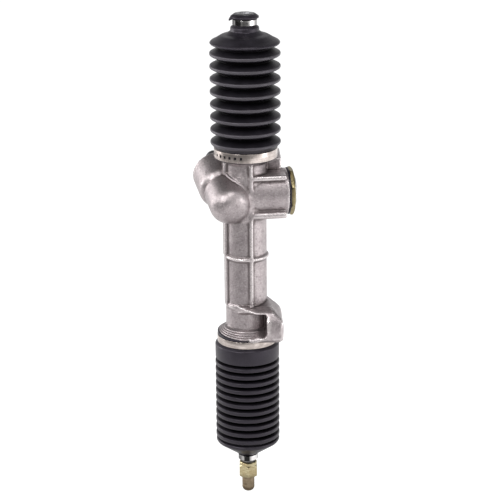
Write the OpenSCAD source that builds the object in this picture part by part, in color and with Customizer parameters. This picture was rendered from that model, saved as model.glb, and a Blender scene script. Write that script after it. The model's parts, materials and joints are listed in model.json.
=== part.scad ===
// Manual rack-and-pinion steering gear, shown upright with the rack along Z.
// Origin: rack axis at the face of the lower locknut, where a tie rod end seats.
// +X is the mounting side and the yoke side, -Y is the side with the cast rib.
// All lengths are in millimetres and all angles in degrees.

/* [Rack] */
// Radius of the rack bar
rack_r = 13; // [12.6:0.1:13.4]
// Travel of the rack to each side of centre
travel = 60; // [40:1:62]
// Height of the pinion crossing above the lower locknut face
cross_z = 288; // [286:1:290]
// Radius of the turned rod at the lower end
lower_rod_r = 6.8; // [6:0.1:7.2]
// Radius of the turned rod at the upper end
upper_rod_r = 8.6; // [8:0.1:9]
// Height of the rack's upper end face
rack_top = 457.5; // [452:0.5:462]
// Core radius of the tapped hole in the upper end
rack_tap_r = 5.1; // [4:0.1:5.5]
// Depth of the tapped hole
rack_tap_depth = 24; // [16:1:30]
// Axial length of each stop ring
stop_len = 8; // [5:0.5:12]
// Outer radius of the stop rings
stop_r = 17; // [16:0.1:18]

/* [Lower stud] */
// Radius of the stud's thread over its crests
stud_r = 6; // [5:0.1:6.4]
// Free length of the stud below the locknut
stud_free = 16.2; // [12:0.1:24]
// Width across the flats of the locknut
nut_af = 17; // [16.5:0.5:18]
// Height of the locknut
nut_h = 12.5; // [8:0.5:13]

/* [Gear] */
// Module of the rack and pinion teeth
tooth_module = 2.25; // [2.1:0.01:2.3]
// Teeth on the pinion
pinion_teeth = 7; // [7:1:7]
// Pressure angle of the teeth
pressure_angle = 30; // [30:0.5:31]
// Addendum as a share of the module
addendum_share = 0.8; // [0.74:0.01:0.8]
// Distance from the rack axis to the pitch plane of its teeth
pitch_plane = 8.6; // [8.4:0.05:8.8]
// Backlash along the pitch line
backlash = 0.14; // [0.08:0.01:0.3]
// Angle between the pinion axis and the plane square to the rack
pinion_tilt = 21; // [18:0.5:22]
// Turn of the pinion about the rack axis, away from the mounting plane
gear_turn = 8; // [4:0.5:10]
// Half the face width of the pinion teeth
tooth_half = 12.5; // [12:0.5:13]

/* [Pinion shaft and bearings] */
// Radius of the lower journal
journal_r = 6; // [5.5:0.1:6.5]
// Length of the lower journal
journal_len = 10; // [8:0.5:11]
// Wall of the lower bush
bush_wall = 1.5; // [1:0.1:2]
// Bore radius of the ball bearing
bearing_r = 7.5; // [7.2:0.1:8]
// Outer radius of the ball bearing
bearing_outer_r = 17.5; // [16.5:0.1:18]
// Width of the ball bearing
bearing_w = 11; // [9:0.5:11]
// Balls in the bearing
ball_count = 8; // [7:1:9]
// Radius of a bearing ball
ball_r = 3; // [2.6:0.1:3.1]
// Radius of the serrated input end over its teeth
input_r = 7.2; // [6.8:0.1:7.3]
// Distance of the input end from the crossing
input_end = 61; // [57:1:64]
// Serrations on the input end
serrations = 36; // [30:1:40]
// Length of the serrated stretch
serration_len = 17; // [12:1:18]

/* [Yoke] */
// Radius of the yoke's bore in the housing
yoke_bore_r = 16; // [15.5:0.1:16.2]
// Thickness of the yoke's plastic liner
liner_t = 1.2; // [1:0.1:1.5]
// Distance of the yoke boss's end face from the rack axis
yoke_face_x = 38.5; // [37:0.5:40]
// Thickness of the seal under the ring nut
yoke_seal_t = 1.4; // [1:0.1:1.6]
// Thickness of the ring nut
ring_nut_t = 3.8; // [3:0.1:5]
// Width across the corners of the ring nut, halved
ring_nut_r = 22.9; // [22.5:0.1:24]
// Distance of the plug's outer face from the rack axis
plug_face_x = 46.2; // [45:0.1:48]
// Turns of the yoke spring
spring_turns = 4; // [3:1:5]
// Wire radius of the yoke spring
spring_wire_r = 1.2; // [1:0.1:1.3]
// Mean radius of the yoke spring
spring_r = 7.5; // [7:0.1:8]

/* [Housing] */
// Outer radius of the tube
tube_r = 19.1; // [18.6:0.1:19.5]
// Radius of the clear bore round the rack
housing_bore_r = 14.5; // [14.2:0.1:14.8]
// Height of the housing's lower end face
housing_low = 142; // [140:0.5:144]
// Height of the housing's upper end face
housing_top = 334; // [332:0.5:336]
// Outer radius of the lower spigot, inside the bellows
low_spigot_r = 24.8; // [24:0.1:25.2]
// Outer radius of the upper spigot, inside the bellows
top_spigot_r = 26.2; // [25.6:0.1:26.6]
// Outer radius of the yoke boss
yoke_boss_r = 21.7; // [21:0.1:22.4]
// Outer radius of the pinion tower's big end
drum_r = 22.8; // [22.4:0.1:24]
// Outer radius of the pinion tower's closed end
dome_r = 19.4; // [18.6:0.1:19.8]
// Distance of the tower's axis from the rack axis
tower_offset = 19.5; // [19:0.1:20.2]
// Reach of the tower beyond the crossing on the closed side
dome_reach = 29.5; // [28:0.5:30]
// Reach of the tower beyond the crossing on the input side
drum_reach = 37; // [36:0.5:38]
// Height of the bead round the tube
bead_z = 227.5; // [220:0.5:235]
// Length of the rack bush
rack_bush_len = 24; // [18:1:30]

/* [Mounting ears] */
// Turn of the mounting plane about the rack axis, from the yoke's direction
mount_turn = -6; // [-8:0.5:-2]
// Distance of the mounting plane from the rack axis
mount_x = 33; // [32:0.5:34]
// Radius of the bolt holes
bolt_r = 6; // [5:0.1:6.3]
// Distance of each bolt from the rack axis, to the front and to the back
bolt_y = 26; // [25:0.5:27]
// Height of the lower bolt
low_bolt_z = 165; // [164.5:0.5:166]
// Height of the upper bolt
top_bolt_z = 307; // [306:0.5:307.5]
// Inner face of the ears' bolted walls
ear_wall_x = 17.5; // [16.5:0.5:18]
// Height of the lower ear's lower end, beside the bellows
ear_low = 150.5; // [150:0.5:152]
// Height of the lower ear's upper web
ear_top = 178; // [177:0.5:179]
// Thickness of the lower ear's two webs
web_t = 3; // [2.5:0.1:4]

/* [Bellows and clamps] */
// Rim radius of the upper bellows
top_rim_r = 32.7; // [32:0.1:33.4]
// Root radius of the upper bellows
top_root_r = 23.6; // [23:0.1:25]
// Distance between the rims of the upper bellows
top_pitch = 11.84; // [11.4:0.02:11.9]
// Rims on the upper bellows
top_rims = 9; // [8:1:9]
// Rim radius of the lower bellows
low_rim_r = 30.7; // [30:0.1:31.4]
// Root radius of the lower bellows
low_root_r = 26; // [25.6:0.1:27]
// Distance between the rims of the lower bellows
low_pitch = 7.4; // [7:0.05:7.5]
// Rims on the lower bellows
low_rims = 11; // [10:1:11]
// Thickness of the rubber
rubber_t = 1.8; // [1.4:0.1:2.2]
// Width of the upper band clamp
top_band_w = 8.5; // [7:0.1:9]
// Width of the lower band clamp
low_band_w = 6.6; // [6:0.1:8]
// Thickness of the band clamps
band_t = 0.9; // [0.6:0.1:1.1]
// Perforations in the upper band clamp
band_slots = 12; // [8:1:12]

/* [Hidden] */
$fn = 96;
fit = 0.05;            // running and seating clearance on a radius
eps = 0.5;             // overshoot of a cutting tool
pi_value = 3.14159265;

// Gear sizes that follow from the module
pitch_r = tooth_module * pinion_teeth / 2;
addendum = addendum_share * tooth_module;
dedendum = addendum + 0.2 * tooth_module;
tip_r = pitch_r + addendum;
root_r = pitch_r - dedendum;
base_r = pitch_r * cos(pressure_angle);
tooth_pitch = pi_value * tooth_module;
axis_gap = pitch_plane + pitch_r;          // rack axis to pinion axis

// Stations along the pinion axis, counted from the crossing
journal_start = tooth_half + 0.8;
lower_bush_end = journal_start + journal_len;
shoulder_start = tooth_half + 4;
bearing_start = tooth_half + 7;
bearing_end = bearing_start + bearing_w;
cover_start = bearing_end + 0.1;
circlip_t = 1.2;
seal_r = input_r + 0.15;                   // plain stretch that the oil seal runs on
pilot_r = input_r + 0.1;                   // plain stretch that guides the coupling
pilot_start = drum_reach + 2;

// Stations along the rack
nut_recess = 0.6;                          // thread relief at the locknut face
nut_turn = 22;                             // angle at which the locknut stopped
low_neck_z = nut_h + 5;                    // lower lip of the lower bellows
low_cone_z = low_neck_z + 7.5;
low_cone_r = 9.2;
low_rims_z = low_cone_z + 17.7;            // first root above the cone
low_rims_top = low_rims_z + low_pitch * low_rims;
low_lip_top = 153.5;                       // upper lip of the lower bellows
low_band_z = 141.9;
top_lip_low = 322.8;                       // lower lip of the upper bellows
top_band_z = 323.8;
top_lip_top = top_band_z + top_band_w + 0.6;
top_rims_z = 331.7;                        // first root, hidden behind the lip
top_rims_top = top_rims_z + top_pitch * top_rims - top_pitch / 2;
top_cone_z = rack_top - 16;
top_cone_r = 13.1;
top_neck_z = top_cone_z + 5.8;             // lower edge of the upper neck clamp
top_neck_r = top_cone_r - 2.6;
neck_band_w = 5;
top_lip_z = rack_top - 0.5;
stop_clear = 0.3;
lower_stop_z = housing_low - travel - stop_clear - stop_len;
upper_stop_z = housing_top + travel + stop_clear;
lower_bar_z = lower_stop_z + stop_len;
tooth_z_half = travel + 17;
tooth_y_half = tooth_z_half * cos(pinion_tilt);

// Yoke group, along X
liner_r = rack_r + fit;
saddle_r = liner_r + liner_t;
yoke_r = yoke_bore_r - fit;
yoke_front_x = 3.5;
yoke_back_x = 25;
spring_seat_x = 17.5;
plug_inner_x = 27;
plug_pocket_x = 31;
yoke_play = 0.3;                           // lift of the yoke before it meets the plug
ring_nut_x = yoke_face_x + yoke_seal_t;

// Lower ear
ear_front = bolt_y + 12;
ear_back = 12;
gusset_z = ear_top + 6;
web_z = low_lip_top + 0.5;                 // lower web, clear of the bellows' lip

// Placement

// x points away from the rack and the yoke, y runs up the rack, z to the pinion's input end
module at_pinion() {
    translate([0, 0, cross_z]) rotate([0, 0, gear_turn])
        rotate([pinion_tilt - 90, 0, 0]) rotate([0, 0, 180]) children();
}

module on_pinion_axis(s) {
    at_pinion() translate([axis_gap, 0, s]) children();
}

// z runs outwards along the yoke axis
module at_yoke(x) {
    translate([x, 0, cross_z]) rotate([0, 90, 0]) children();
}

module ring(inner, outer, h) {
    difference() {
        cylinder(r = outer, h = h);
        translate([0, 0, -eps]) cylinder(r = inner, h = h + 2 * eps);
    }
}

// Turned piece from a list of [radius, height] corners that starts and ends on the axis
module turned(corners) {
    rotate_extrude() polygon(corners);
}

// Disc with a quarter-round edge on its lower side
module round_bottom_disc(r, h, edge) {
    turned(concat([[0, 0]],
        [for (a = [-90:15:0]) [r - edge + edge * cos(a), edge + edge * sin(a)]],
        [[r, h], [0, h]]));
}

// Gear profiles

function involute(a) = a * pi_value / 180;
function involute_angle(r) =
    let (a = acos(min(1, base_r / r))) tan(a) * 180 / pi_value - a;
function half_tooth(r) =
    90 / pinion_teeth - backlash / pitch_r * 45 / pi_value
    + involute_angle(pitch_r) - involute_angle(r);
function polar(r, a) = [r * cos(a), r * sin(a)];

flank_steps = 7;
flank_radii = [for (i = [0:flank_steps])
    base_r + (tip_r - base_r) * pow(i / flank_steps, 1.3)];

function tooth_points(mid) = concat(
    [polar(root_r, mid - half_tooth(base_r))],
    [for (r = flank_radii) polar(r, mid - half_tooth(r))],
    [for (i = [flank_steps:-1:0]) polar(flank_radii[i], mid + half_tooth(flank_radii[i]))],
    [polar(root_r, mid + half_tooth(base_r))]);

// A gap of the pinion faces the rack, on the -x side
module pinion_profile() {
    step = 360 / pinion_teeth;
    polygon([for (k = [0:pinion_teeth - 1]) each tooth_points(180 + (k + 0.5) * step)]);
}

// Everything that the cutter takes off the toothed side of the bar
module rack_gap_profile() {
    tip_x = pitch_plane + addendum;
    root_x = pitch_plane - dedendum;
    slope = tan(pressure_angle);
    half_root = tooth_pitch / 4 + dedendum * slope - backlash / 4;
    half_tip = tooth_pitch / 4 - addendum * slope - backlash / 4;
    count = floor(tooth_y_half / tooth_pitch);
    outside = rack_r + 2;
    teeth = [for (k = [-count:count]) each [
        [root_x, k * tooth_pitch - half_root], [tip_x, k * tooth_pitch - half_tip],
        [tip_x, k * tooth_pitch + half_tip], [root_x, k * tooth_pitch + half_root]]];
    last = (count + 1) * tooth_pitch - half_root;
    polygon(concat([[outside, -last - 4], [tip_x, -last - 1], [root_x, -last]], teeth,
        [[root_x, last], [tip_x, last + 1], [outside, last + 4]]));
}

// Housing

module tube_body() {
    step = 1.35;
    turned([
        [0, housing_low], [low_spigot_r - 1, housing_low], [low_spigot_r, housing_low + 1],
        [low_spigot_r, web_z], [low_spigot_r - step, web_z], [low_spigot_r - step, web_z + step],
        [low_spigot_r - 2 * step, web_z + step], [low_spigot_r - 2 * step, web_z + 2 * step],
        [low_spigot_r - 3 * step, web_z + 2 * step], [tube_r, web_z + 4 * step],
        [tube_r, top_lip_low - 4.5], [tube_r + 2.5, top_lip_low - 1.2],
        [top_spigot_r - 1, top_lip_low - 1.2], [top_spigot_r, top_lip_low - 0.3],
        [top_spigot_r, housing_top - 1], [top_spigot_r - 1, housing_top], [0, housing_top]]);
}

module bead() {
    r = 1.8;
    translate([0, 0, bead_z]) rotate_extrude() union() {
        translate([tube_r + 0.4, 0]) circle(r = r, $fn = 24);
        translate([tube_r - 4, -r]) square([4.4, 2 * r]);
    }
}

module collar() {
    rise = 3.8;
    turned([[0, ear_top], [tube_r + 1.2, ear_top], [tube_r + 1.2, ear_top + rise - 1],
        [tube_r, ear_top + rise], [0, ear_top + rise]]);
}

// The rib that runs down the front, and the flat strip on the left flank
module front_rib() {
    rib_w = 3.2;
    rib_x = 2;
    rib_y = tube_r + 2;
    translate([rib_x - rib_w / 2, -rib_y, ear_top])
        cube([rib_w, rib_y - housing_bore_r - 1, top_lip_low - 4 - ear_top]);
}

module side_strip() {
    strip_w = 12;
    low_x = tube_r + 1.7;
    high_x = tube_r + 2.6;
    translate([-low_x, -strip_w / 2, ear_top])
        cube([low_x - housing_bore_r - 1, strip_w, bead_z - ear_top]);
    translate([-high_x, -strip_w / 2, bead_z])
        cube([high_x - housing_bore_r - 1, strip_w, top_lip_low - 4 - bead_z]);
}

module yoke_boss() {
    upper_web_z = cross_z + 18;
    lower_web_z = cross_z - 18;
    at_yoke(0) cylinder(r = yoke_boss_r, h = yoke_face_x);
    boss_web(upper_web_z, 2.6, 6);
    boss_web(lower_web_z, 3.4, 0);
}

// Flat web across the front of the yoke boss, with a round front edge
module boss_web(z, half, back) {
    web_front = tube_r + 2.2;
    web_left = 4;
    web_end = yoke_face_x - 3.2;
    translate([web_left, half - web_front, z]) rotate([0, 90, 0])
        cylinder(r = half, h = web_end - web_left, $fn = 32);
    translate([web_left, half - web_front, z - half])
        cube([web_end - web_left, web_front - half + back, 2 * half]);
    translate([web_left, half - web_front, z]) sphere(r = half, $fn = 32);
}

module pinion_tower() {
    shoulder = 8;
    at_pinion() translate([tower_offset, 0, 0]) {
        translate([0, 0, -dome_reach]) round_bottom_disc(dome_r, dome_reach + drum_reach - 4, 14);
        translate([0, 0, 4]) round_bottom_disc(drum_r, drum_reach - 4, shoulder);
    }
}

// Saddle that carries the tower and the yoke boss on the tube
module crossing_block() {
    half_h = 24;
    swell = 1;
    translate([0, 0, cross_z - half_h]) turned([[0, 0], [tube_r, 0], [tube_r + swell, 3],
        [tube_r + swell, 2 * half_h - 8], [tube_r, 2 * half_h], [0, 2 * half_h]]);
}

// Outline of the lower ear seen from the front, with its rounded end and gusset
module ear_front_outline() {
    top_edge = 10.5;
    low_edge = 7;
    hull() {
        translate([0, ear_low]) square([4, ear_top - ear_low]);
        translate([mount_x - top_edge, ear_top - top_edge]) circle(r = top_edge, $fn = 32);
        translate([mount_x - low_edge, ear_low + low_edge]) circle(r = low_edge, $fn = 32);
        translate([tube_r - 1, ear_top]) square([1, gusset_z - ear_top]);
    }
    translate([-tube_r - 6, web_z]) square([tube_r + 8, gusset_z - web_z]);
}

// Outline of the lower ear seen from above, with the webs' slanted edge
module ear_plan_outline() {
    edge = 5;
    hull() {
        translate([-tube_r, 1]) circle(r = 1, $fn = 24);
        translate([-tube_r + 5.5, -9.5]) circle(r = 3, $fn = 24);
        translate([2, -ear_front + 11]) circle(r = 2, $fn = 24);
        translate([11.5, -ear_front + 5]) circle(r = 2, $fn = 24);
        translate([ear_wall_x + 2, -ear_front + 3]) circle(r = 2, $fn = 24);
        translate([mount_x - edge, -ear_front + edge]) circle(r = edge, $fn = 32);
        translate([mount_x - 1, 5]) circle(r = 1, $fn = 24);
        translate([0, 5]) square([1, 1]);
    }
}

// Outline of the lower ear seen from the side, with its top falling to the front
// and its lug rounded about the bolt
module ear_side_outline() {
    lug_r = 15;
    lug_y = lug_r - ear_front;
    intersection() {
        polygon([[ear_back, ear_low], [ear_back, gusset_z], [-4, gusset_z],
            [-tube_r, ear_top + 3.5], [-ear_front, ear_top], [-ear_front, ear_low]]);
        union() {
            translate([lug_y, ear_low]) square([ear_back - lug_y, gusset_z - ear_low]);
            translate([lug_y, (ear_low + ear_top) / 2]) circle(r = lug_r);
        }
    }
}

module lower_ear() {
    reach = mount_x + tube_r + 20;
    intersection() {
        translate([0, ear_back, 0]) rotate([90, 0, 0])
            linear_extrude(height = ear_back + ear_front + 1) ear_front_outline();
        translate([0, 0, ear_low - 1]) linear_extrude(height = ear_top - ear_low + 12)
            ear_plan_outline();
        translate([-reach / 2, 0, 0]) rotate([90, 0, 90])
            linear_extrude(height = reach) ear_side_outline();
    }
}

// Relief that keeps the ear clear of the bellows' lip and its clamp
module lip_relief() {
    translate([0, 0, ear_low - 10])
        cylinder(r = low_spigot_r + 4.4, h = web_z - ear_low + 10);
}

// The hollow between the two webs, open to the left and the front
module lower_ear_recess() {
    floor_z = web_z + web_t;
    skin = 0.35;
    difference() {
        translate([-tube_r - 12, -ear_front - 4, floor_z])
            cube([tube_r + 12 + ear_wall_x, ear_front + 4, ear_top - web_t - floor_z]);
        translate([0, 0, floor_z - 1]) cylinder(r = tube_r + skin, h = ear_top - floor_z);
    }
}

// Ear with a bolting pad that stands clear of the yoke boss
module upper_ear() {
    half = 13;
    edge = 5;
    pad_step = 1;
    pad_gap = 1.2;
    inner_x = tube_r - 6;
    ear_high = top_lip_low - 1.6;
    difference() {
        translate([inner_x, 0, 0]) rotate([90, 0, 90])
            linear_extrude(height = mount_x - inner_x) hull() {
                translate([2, top_bolt_z - half]) square([4, ear_high - 1 - top_bolt_z + half]);
                translate([bolt_y + half - edge, ear_high - edge]) circle(r = edge, $fn = 32);
                translate([bolt_y + half - edge, top_bolt_z - half + edge])
                    circle(r = edge, $fn = 32);
                translate([8, ear_high - 1]) square([2, 1]);
            }
        translate([0, -mount_x * tan(mount_turn), 0]) at_yoke(mount_x - pad_step)
            cylinder(r = yoke_boss_r + pad_gap, h = pad_step + eps);
    }
}

// x runs square to the mounting plane, y along it
module in_mount_frame() {
    rotate([0, 0, mount_turn]) children();
}

module bolt_holes() {
    for (hole = [[-bolt_y, low_bolt_z], [bolt_y, top_bolt_z]])
        translate([ear_wall_x - 5, hole[0], hole[1]]) rotate([0, 90, 0])
            cylinder(r = bolt_r, h = mount_x - ear_wall_x + 5 + eps);
}

module rack_tunnel() {
    translate([0, 0, housing_low - eps])
        cylinder(r = housing_bore_r, h = housing_top - housing_low + 2 * eps);
    translate([0, 0, housing_low - eps])
        cylinder(r = housing_bore_r + 2, h = rack_bush_len + eps);
}

module pinion_tunnel() {
    on_pinion_axis(-tooth_half - 0.4) cylinder(r = tip_r + 0.6, h = tooth_half + bearing_start + 1);
    on_pinion_axis(-lower_bush_end - 0.5)
        cylinder(r = journal_r + bush_wall, h = journal_len + 2);
    on_pinion_axis(bearing_start) cylinder(r = bearing_outer_r, h = drum_reach);
}

module housing() {
    color("silver") difference() {
        union() {
            tube_body();
            bead();
            collar();
            front_rib();
            side_strip();
            crossing_block();
            yoke_boss();
            pinion_tower();
            in_mount_frame() difference() {
                lower_ear();
                lip_relief();
            }
            in_mount_frame() upper_ear();
        }
        rack_tunnel();
        pinion_tunnel();
        at_yoke(0) cylinder(r = yoke_bore_r, h = yoke_face_x + eps);
        in_mount_frame() lower_ear_recess();
        in_mount_frame() bolt_holes();
    }
}

// Rack group

module rack_bush() {
    color("ivory") translate([0, 0, housing_low])
        ring(rack_r + fit, housing_bore_r + 2, rack_bush_len);
}

module rack_bar() {
    chamfer = 1;
    cut_half = tooth_z_half * sin(pinion_tilt) + 2 * rack_r;
    color("dimgray") difference() {
        turned([[0, nut_h + 0.2], [lower_rod_r - 0.6, nut_h + 0.2], [lower_rod_r, nut_h + 0.8],
            [lower_rod_r, lower_bar_z - stop_len], [lower_rod_r + 3.2, lower_bar_z - stop_len],
            [lower_rod_r + 3.2, lower_bar_z], [rack_r - chamfer, lower_bar_z],
            [rack_r, lower_bar_z + chamfer], [rack_r, upper_stop_z - chamfer],
            [rack_r - chamfer, upper_stop_z], [upper_rod_r, upper_stop_z],
            [upper_rod_r, rack_top - 0.8], [upper_rod_r - 0.8, rack_top], [0, rack_top]]);
        at_pinion() linear_extrude(height = 2 * cut_half, center = true) rack_gap_profile();
        translate([0, 0, rack_top - rack_tap_depth])
            cylinder(r = rack_tap_r, h = rack_tap_depth + eps);
        translate([0, 0, nut_h - eps]) cylinder(r = stud_r - 1, h = 20);
    }
}

module rack_stud() {
    tip = 4.4;
    core = stud_r - 1;
    color("darkkhaki") turned(concat(
        [[0, -stud_free]],
        [for (a = [-75:15:0])
            [stud_r - tip + tip * cos(a), -stud_free + tip + tip * sin(a)]],
        [[stud_r, 0], [core + 0.4, nut_recess / 2], [core + 0.4, nut_recess],
         [stud_r, 2 * nut_recess], [stud_r, nut_h], [core - fit, nut_h],
         [core - fit, nut_h + 18], [0, nut_h + 18]]));
}

module stud_locknut() {
    corner_r = nut_af / 2 / cos(30);
    flat_r = nut_af / 2;
    color("khaki") rotate([0, 0, nut_turn]) difference() {
        intersection() {
            cylinder(r = corner_r, h = nut_h, $fn = 6);
            turned([[0, 0], [flat_r - 0.3, 0], [corner_r + 0.2, 1.2],
                [corner_r + 0.2, nut_h - 2.1], [flat_r - 0.3, nut_h], [0, nut_h]]);
        }
        translate([0, 0, -eps]) cylinder(r = stud_r + fit, h = nut_h + 2 * eps);
    }
}

module lower_stop_ring() {
    color("slategray") translate([0, 0, lower_stop_z])
        ring(lower_rod_r + 3.2 + fit, stop_r, stop_len - fit);
}

module upper_stop_ring() {
    color("slategray") translate([0, 0, upper_stop_z + fit])
        ring(upper_rod_r + fit, stop_r, stop_len);
}

// Pinion group

module pinion_shaft() {
    groove_s = input_end - serration_len / 2;
    stub = 1.8;
    color("gray") difference() {
        union() {
            on_pinion_axis(-tooth_half) linear_extrude(height = 2 * tooth_half)
                pinion_profile();
            on_pinion_axis(-lower_bush_end) cylinder(r = journal_r, h = journal_len + 2);
            on_pinion_axis(tooth_half - 1) cylinder(r = root_r, h = 7);
            on_pinion_axis(shoulder_start)
                cylinder(r = tip_r - 0.4, h = bearing_start - shoulder_start);
            on_pinion_axis(bearing_start) cylinder(r = bearing_r - fit, h = bearing_w + stub);
            on_pinion_axis(bearing_end + stub)
                cylinder(r = seal_r, h = pilot_start - bearing_end - stub);
            on_pinion_axis(pilot_start - eps)
                cylinder(r = pilot_r, h = input_end - serration_len - pilot_start + eps);
            on_pinion_axis(input_end - serration_len - eps)
                linear_extrude(height = serration_len + eps) serration_profile();
        }
        on_pinion_axis(bearing_end + fit) ring(bearing_r - 0.9, bearing_r + 2, circlip_t + fit);
        on_pinion_axis(groove_s - 2.5) ring(input_r - 1.2, input_r + 2, 5);
    }
}

module serration_profile() {
    depth = 0.7;
    step = 360 / serrations;
    polygon([for (k = [0:serrations - 1]) each [
        polar(input_r - depth, k * step), polar(input_r, (k + 0.35) * step),
        polar(input_r, (k + 0.65) * step)]]);
}

module pinion_lower_bush() {
    color("peru") on_pinion_axis(-lower_bush_end)
        ring(journal_r + fit, journal_r + bush_wall, journal_len - 0.2);
}

race_r = (bearing_r + bearing_outer_r) / 2;
race_wall = ball_r - 1;

module race_groove() {
    rotate_extrude() translate([race_r, bearing_w / 2]) circle(r = ball_r + fit, $fn = 32);
}

module bearing_outer_ring() {
    color("lightsteelblue") on_pinion_axis(bearing_start) difference() {
        ring(race_r + race_wall, bearing_outer_r, bearing_w);
        race_groove();
    }
}

module bearing_inner_ring() {
    color("lightsteelblue") on_pinion_axis(bearing_start) difference() {
        ring(bearing_r, race_r - race_wall, bearing_w);
        race_groove();
    }
}

module bearing_balls() {
    color("white") on_pinion_axis(bearing_start + bearing_w / 2)
        for (k = [0:ball_count - 1]) rotate([0, 0, k * 360 / ball_count])
            translate([race_r, 0, 0]) sphere(r = ball_r);
}

module bearing_cage() {
    cage_half = 1.1;
    cage_w = 8;
    color("gold") on_pinion_axis(bearing_start + bearing_w / 2) difference() {
        translate([0, 0, -cage_w / 2]) ring(race_r - cage_half, race_r + cage_half, cage_w);
        for (k = [0:ball_count - 1]) rotate([0, 0, k * 360 / ball_count])
            translate([race_r - cage_w / 2, 0, 0]) rotate([0, 90, 0])
                cylinder(r = ball_r + 2 * fit, h = cage_w);
    }
}

module bearing_circlip() {
    opening = 4;
    color("black") on_pinion_axis(bearing_end + fit) difference() {
        ring(bearing_r - 0.85, bearing_r + 1.9, circlip_t);
        translate([0, -opening / 2, -eps]) cube([bearing_r + 4, opening, circlip_t + 2 * eps]);
    }
}

seal_w = 5;
seal_outer_r = 12.5;

module pinion_cover() {
    cover_t = drum_reach + 1.5 - cover_start;
    lip_t = 2;
    color("darkgray") on_pinion_axis(cover_start) difference() {
        cylinder(r = bearing_outer_r, h = cover_t);
        translate([0, 0, -eps]) cylinder(r = seal_outer_r - 1.5, h = cover_t + 2 * eps);
        translate([0, 0, cover_t - seal_w]) cylinder(r = seal_outer_r, h = seal_w + eps);
        for (k = [0:3]) rotate([0, 0, 45 + 90 * k])
            translate([bearing_outer_r - 2.4, -2, cover_t - lip_t])
                cube([4, 4, lip_t + eps]);
    }
}

module pinion_oil_seal() {
    cover_end = drum_reach + 1.5;
    color("black") on_pinion_axis(cover_end - seal_w) difference() {
        cylinder(r = seal_outer_r, h = seal_w);
        translate([0, 0, -eps]) cylinder(r = seal_r + fit, h = seal_w + 2 * eps);
        translate([0, 0, seal_w - 1.6]) ring(seal_r + 1.5, seal_outer_r - 1.4, 3);
    }
}

// Yoke group

module rack_clearance(r) {
    translate([0, 0, cross_z - 2 * yoke_bore_r]) cylinder(r = r, h = 4 * yoke_bore_r);
}

o_ring_x = 21;
o_ring_r = 1.3;

module yoke() {
    color("lightgray") difference() {
        at_yoke(yoke_front_x) cylinder(r = yoke_r, h = yoke_back_x - yoke_front_x);
        rack_clearance(saddle_r);
        at_yoke(spring_seat_x) cylinder(r = spring_r + spring_wire_r + 0.5, h = 12);
        at_yoke(o_ring_x - o_ring_r - 0.1)
            ring(yoke_r - 2 * o_ring_r, yoke_r + 2, 2 * o_ring_r + 0.2);
    }
}

module yoke_liner() {
    color("white") difference() {
        intersection() {
            at_yoke(yoke_front_x) cylinder(r = yoke_r - 1, h = yoke_back_x - yoke_front_x);
            rack_clearance(saddle_r);
        }
        rack_clearance(liner_r);
    }
}

module yoke_o_ring() {
    color("black") at_yoke(o_ring_x) rotate_extrude()
        translate([yoke_r - o_ring_r, 0]) circle(r = o_ring_r, $fn = 24);
}

// Wire points of the yoke spring, with a flat turn at each end
spring_len = plug_pocket_x - spring_seat_x - 2 * spring_wire_r - yoke_play - 2 * fit;
spring_steps = 24;
wire_sides = 8;
function spring_share(t) = max(0, min(1, (t - 0.75) / (spring_turns - 1.5)));
function wire_point(i, j) =
    let (t = i / spring_steps, a = 360 * t, b = 360 * j / wire_sides,
         r = spring_r + spring_wire_r * cos(b))
    [r * cos(a), r * sin(a), spring_len * spring_share(t) + spring_wire_r * sin(b)];

module yoke_spring() {
    rings = spring_turns * spring_steps;
    points = [for (i = [0:rings], j = [0:wire_sides - 1]) wire_point(i, j)];
    sides = [for (i = [0:rings - 1], j = [0:wire_sides - 1])
        let (k = (j + 1) % wire_sides)
        [i * wire_sides + j, i * wire_sides + k, (i + 1) * wire_sides + k,
         (i + 1) * wire_sides + j]];
    first = [for (j = [wire_sides - 1:-1:0]) j];
    last = [for (j = [0:wire_sides - 1]) rings * wire_sides + j];
    color("silver") at_yoke(spring_seat_x + spring_wire_r + fit)
        polyhedron(points = points, faces = concat(sides, [first, last]));
}

module yoke_plug() {
    thread_r = yoke_bore_r - fit;
    head_r = 15.4;
    socket_af = 17;
    color("gainsboro") difference() {
        union() {
            at_yoke(plug_inner_x) cylinder(r = thread_r, h = ring_nut_x + ring_nut_t - plug_inner_x);
            at_yoke(ring_nut_x) turned([[0, 0], [head_r, 0],
                [head_r, plug_face_x - ring_nut_x - 1.2],
                [head_r - 1.6, plug_face_x - ring_nut_x], [0, plug_face_x - ring_nut_x]]);
        }
        at_yoke(plug_inner_x - eps)
            cylinder(r = spring_r + spring_wire_r + 0.6, h = plug_pocket_x - plug_inner_x + eps);
        at_yoke(plug_face_x - 8) cylinder(r = socket_af / 2 / cos(30), h = 10, $fn = 6);
    }
}

module yoke_ring_nut() {
    flat_r = ring_nut_r * cos(22.5);
    color("darkkhaki") at_yoke(ring_nut_x) difference() {
        intersection() {
            rotate([0, 0, 22.5]) cylinder(r = ring_nut_r, h = ring_nut_t, $fn = 8);
            turned([[0, 0], [flat_r + 0.2, 0], [ring_nut_r + 0.3, 1.1],
                [ring_nut_r + 0.3, ring_nut_t - 1.1], [flat_r + 0.2, ring_nut_t], [0, ring_nut_t]]);
        }
        translate([0, 0, -eps]) cylinder(r = yoke_bore_r, h = ring_nut_t + 2 * eps);
    }
}

module yoke_seal() {
    color("black") at_yoke(yoke_face_x) ring(yoke_bore_r, yoke_boss_r + 0.4, yoke_seal_t);
}

// Bellows

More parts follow.
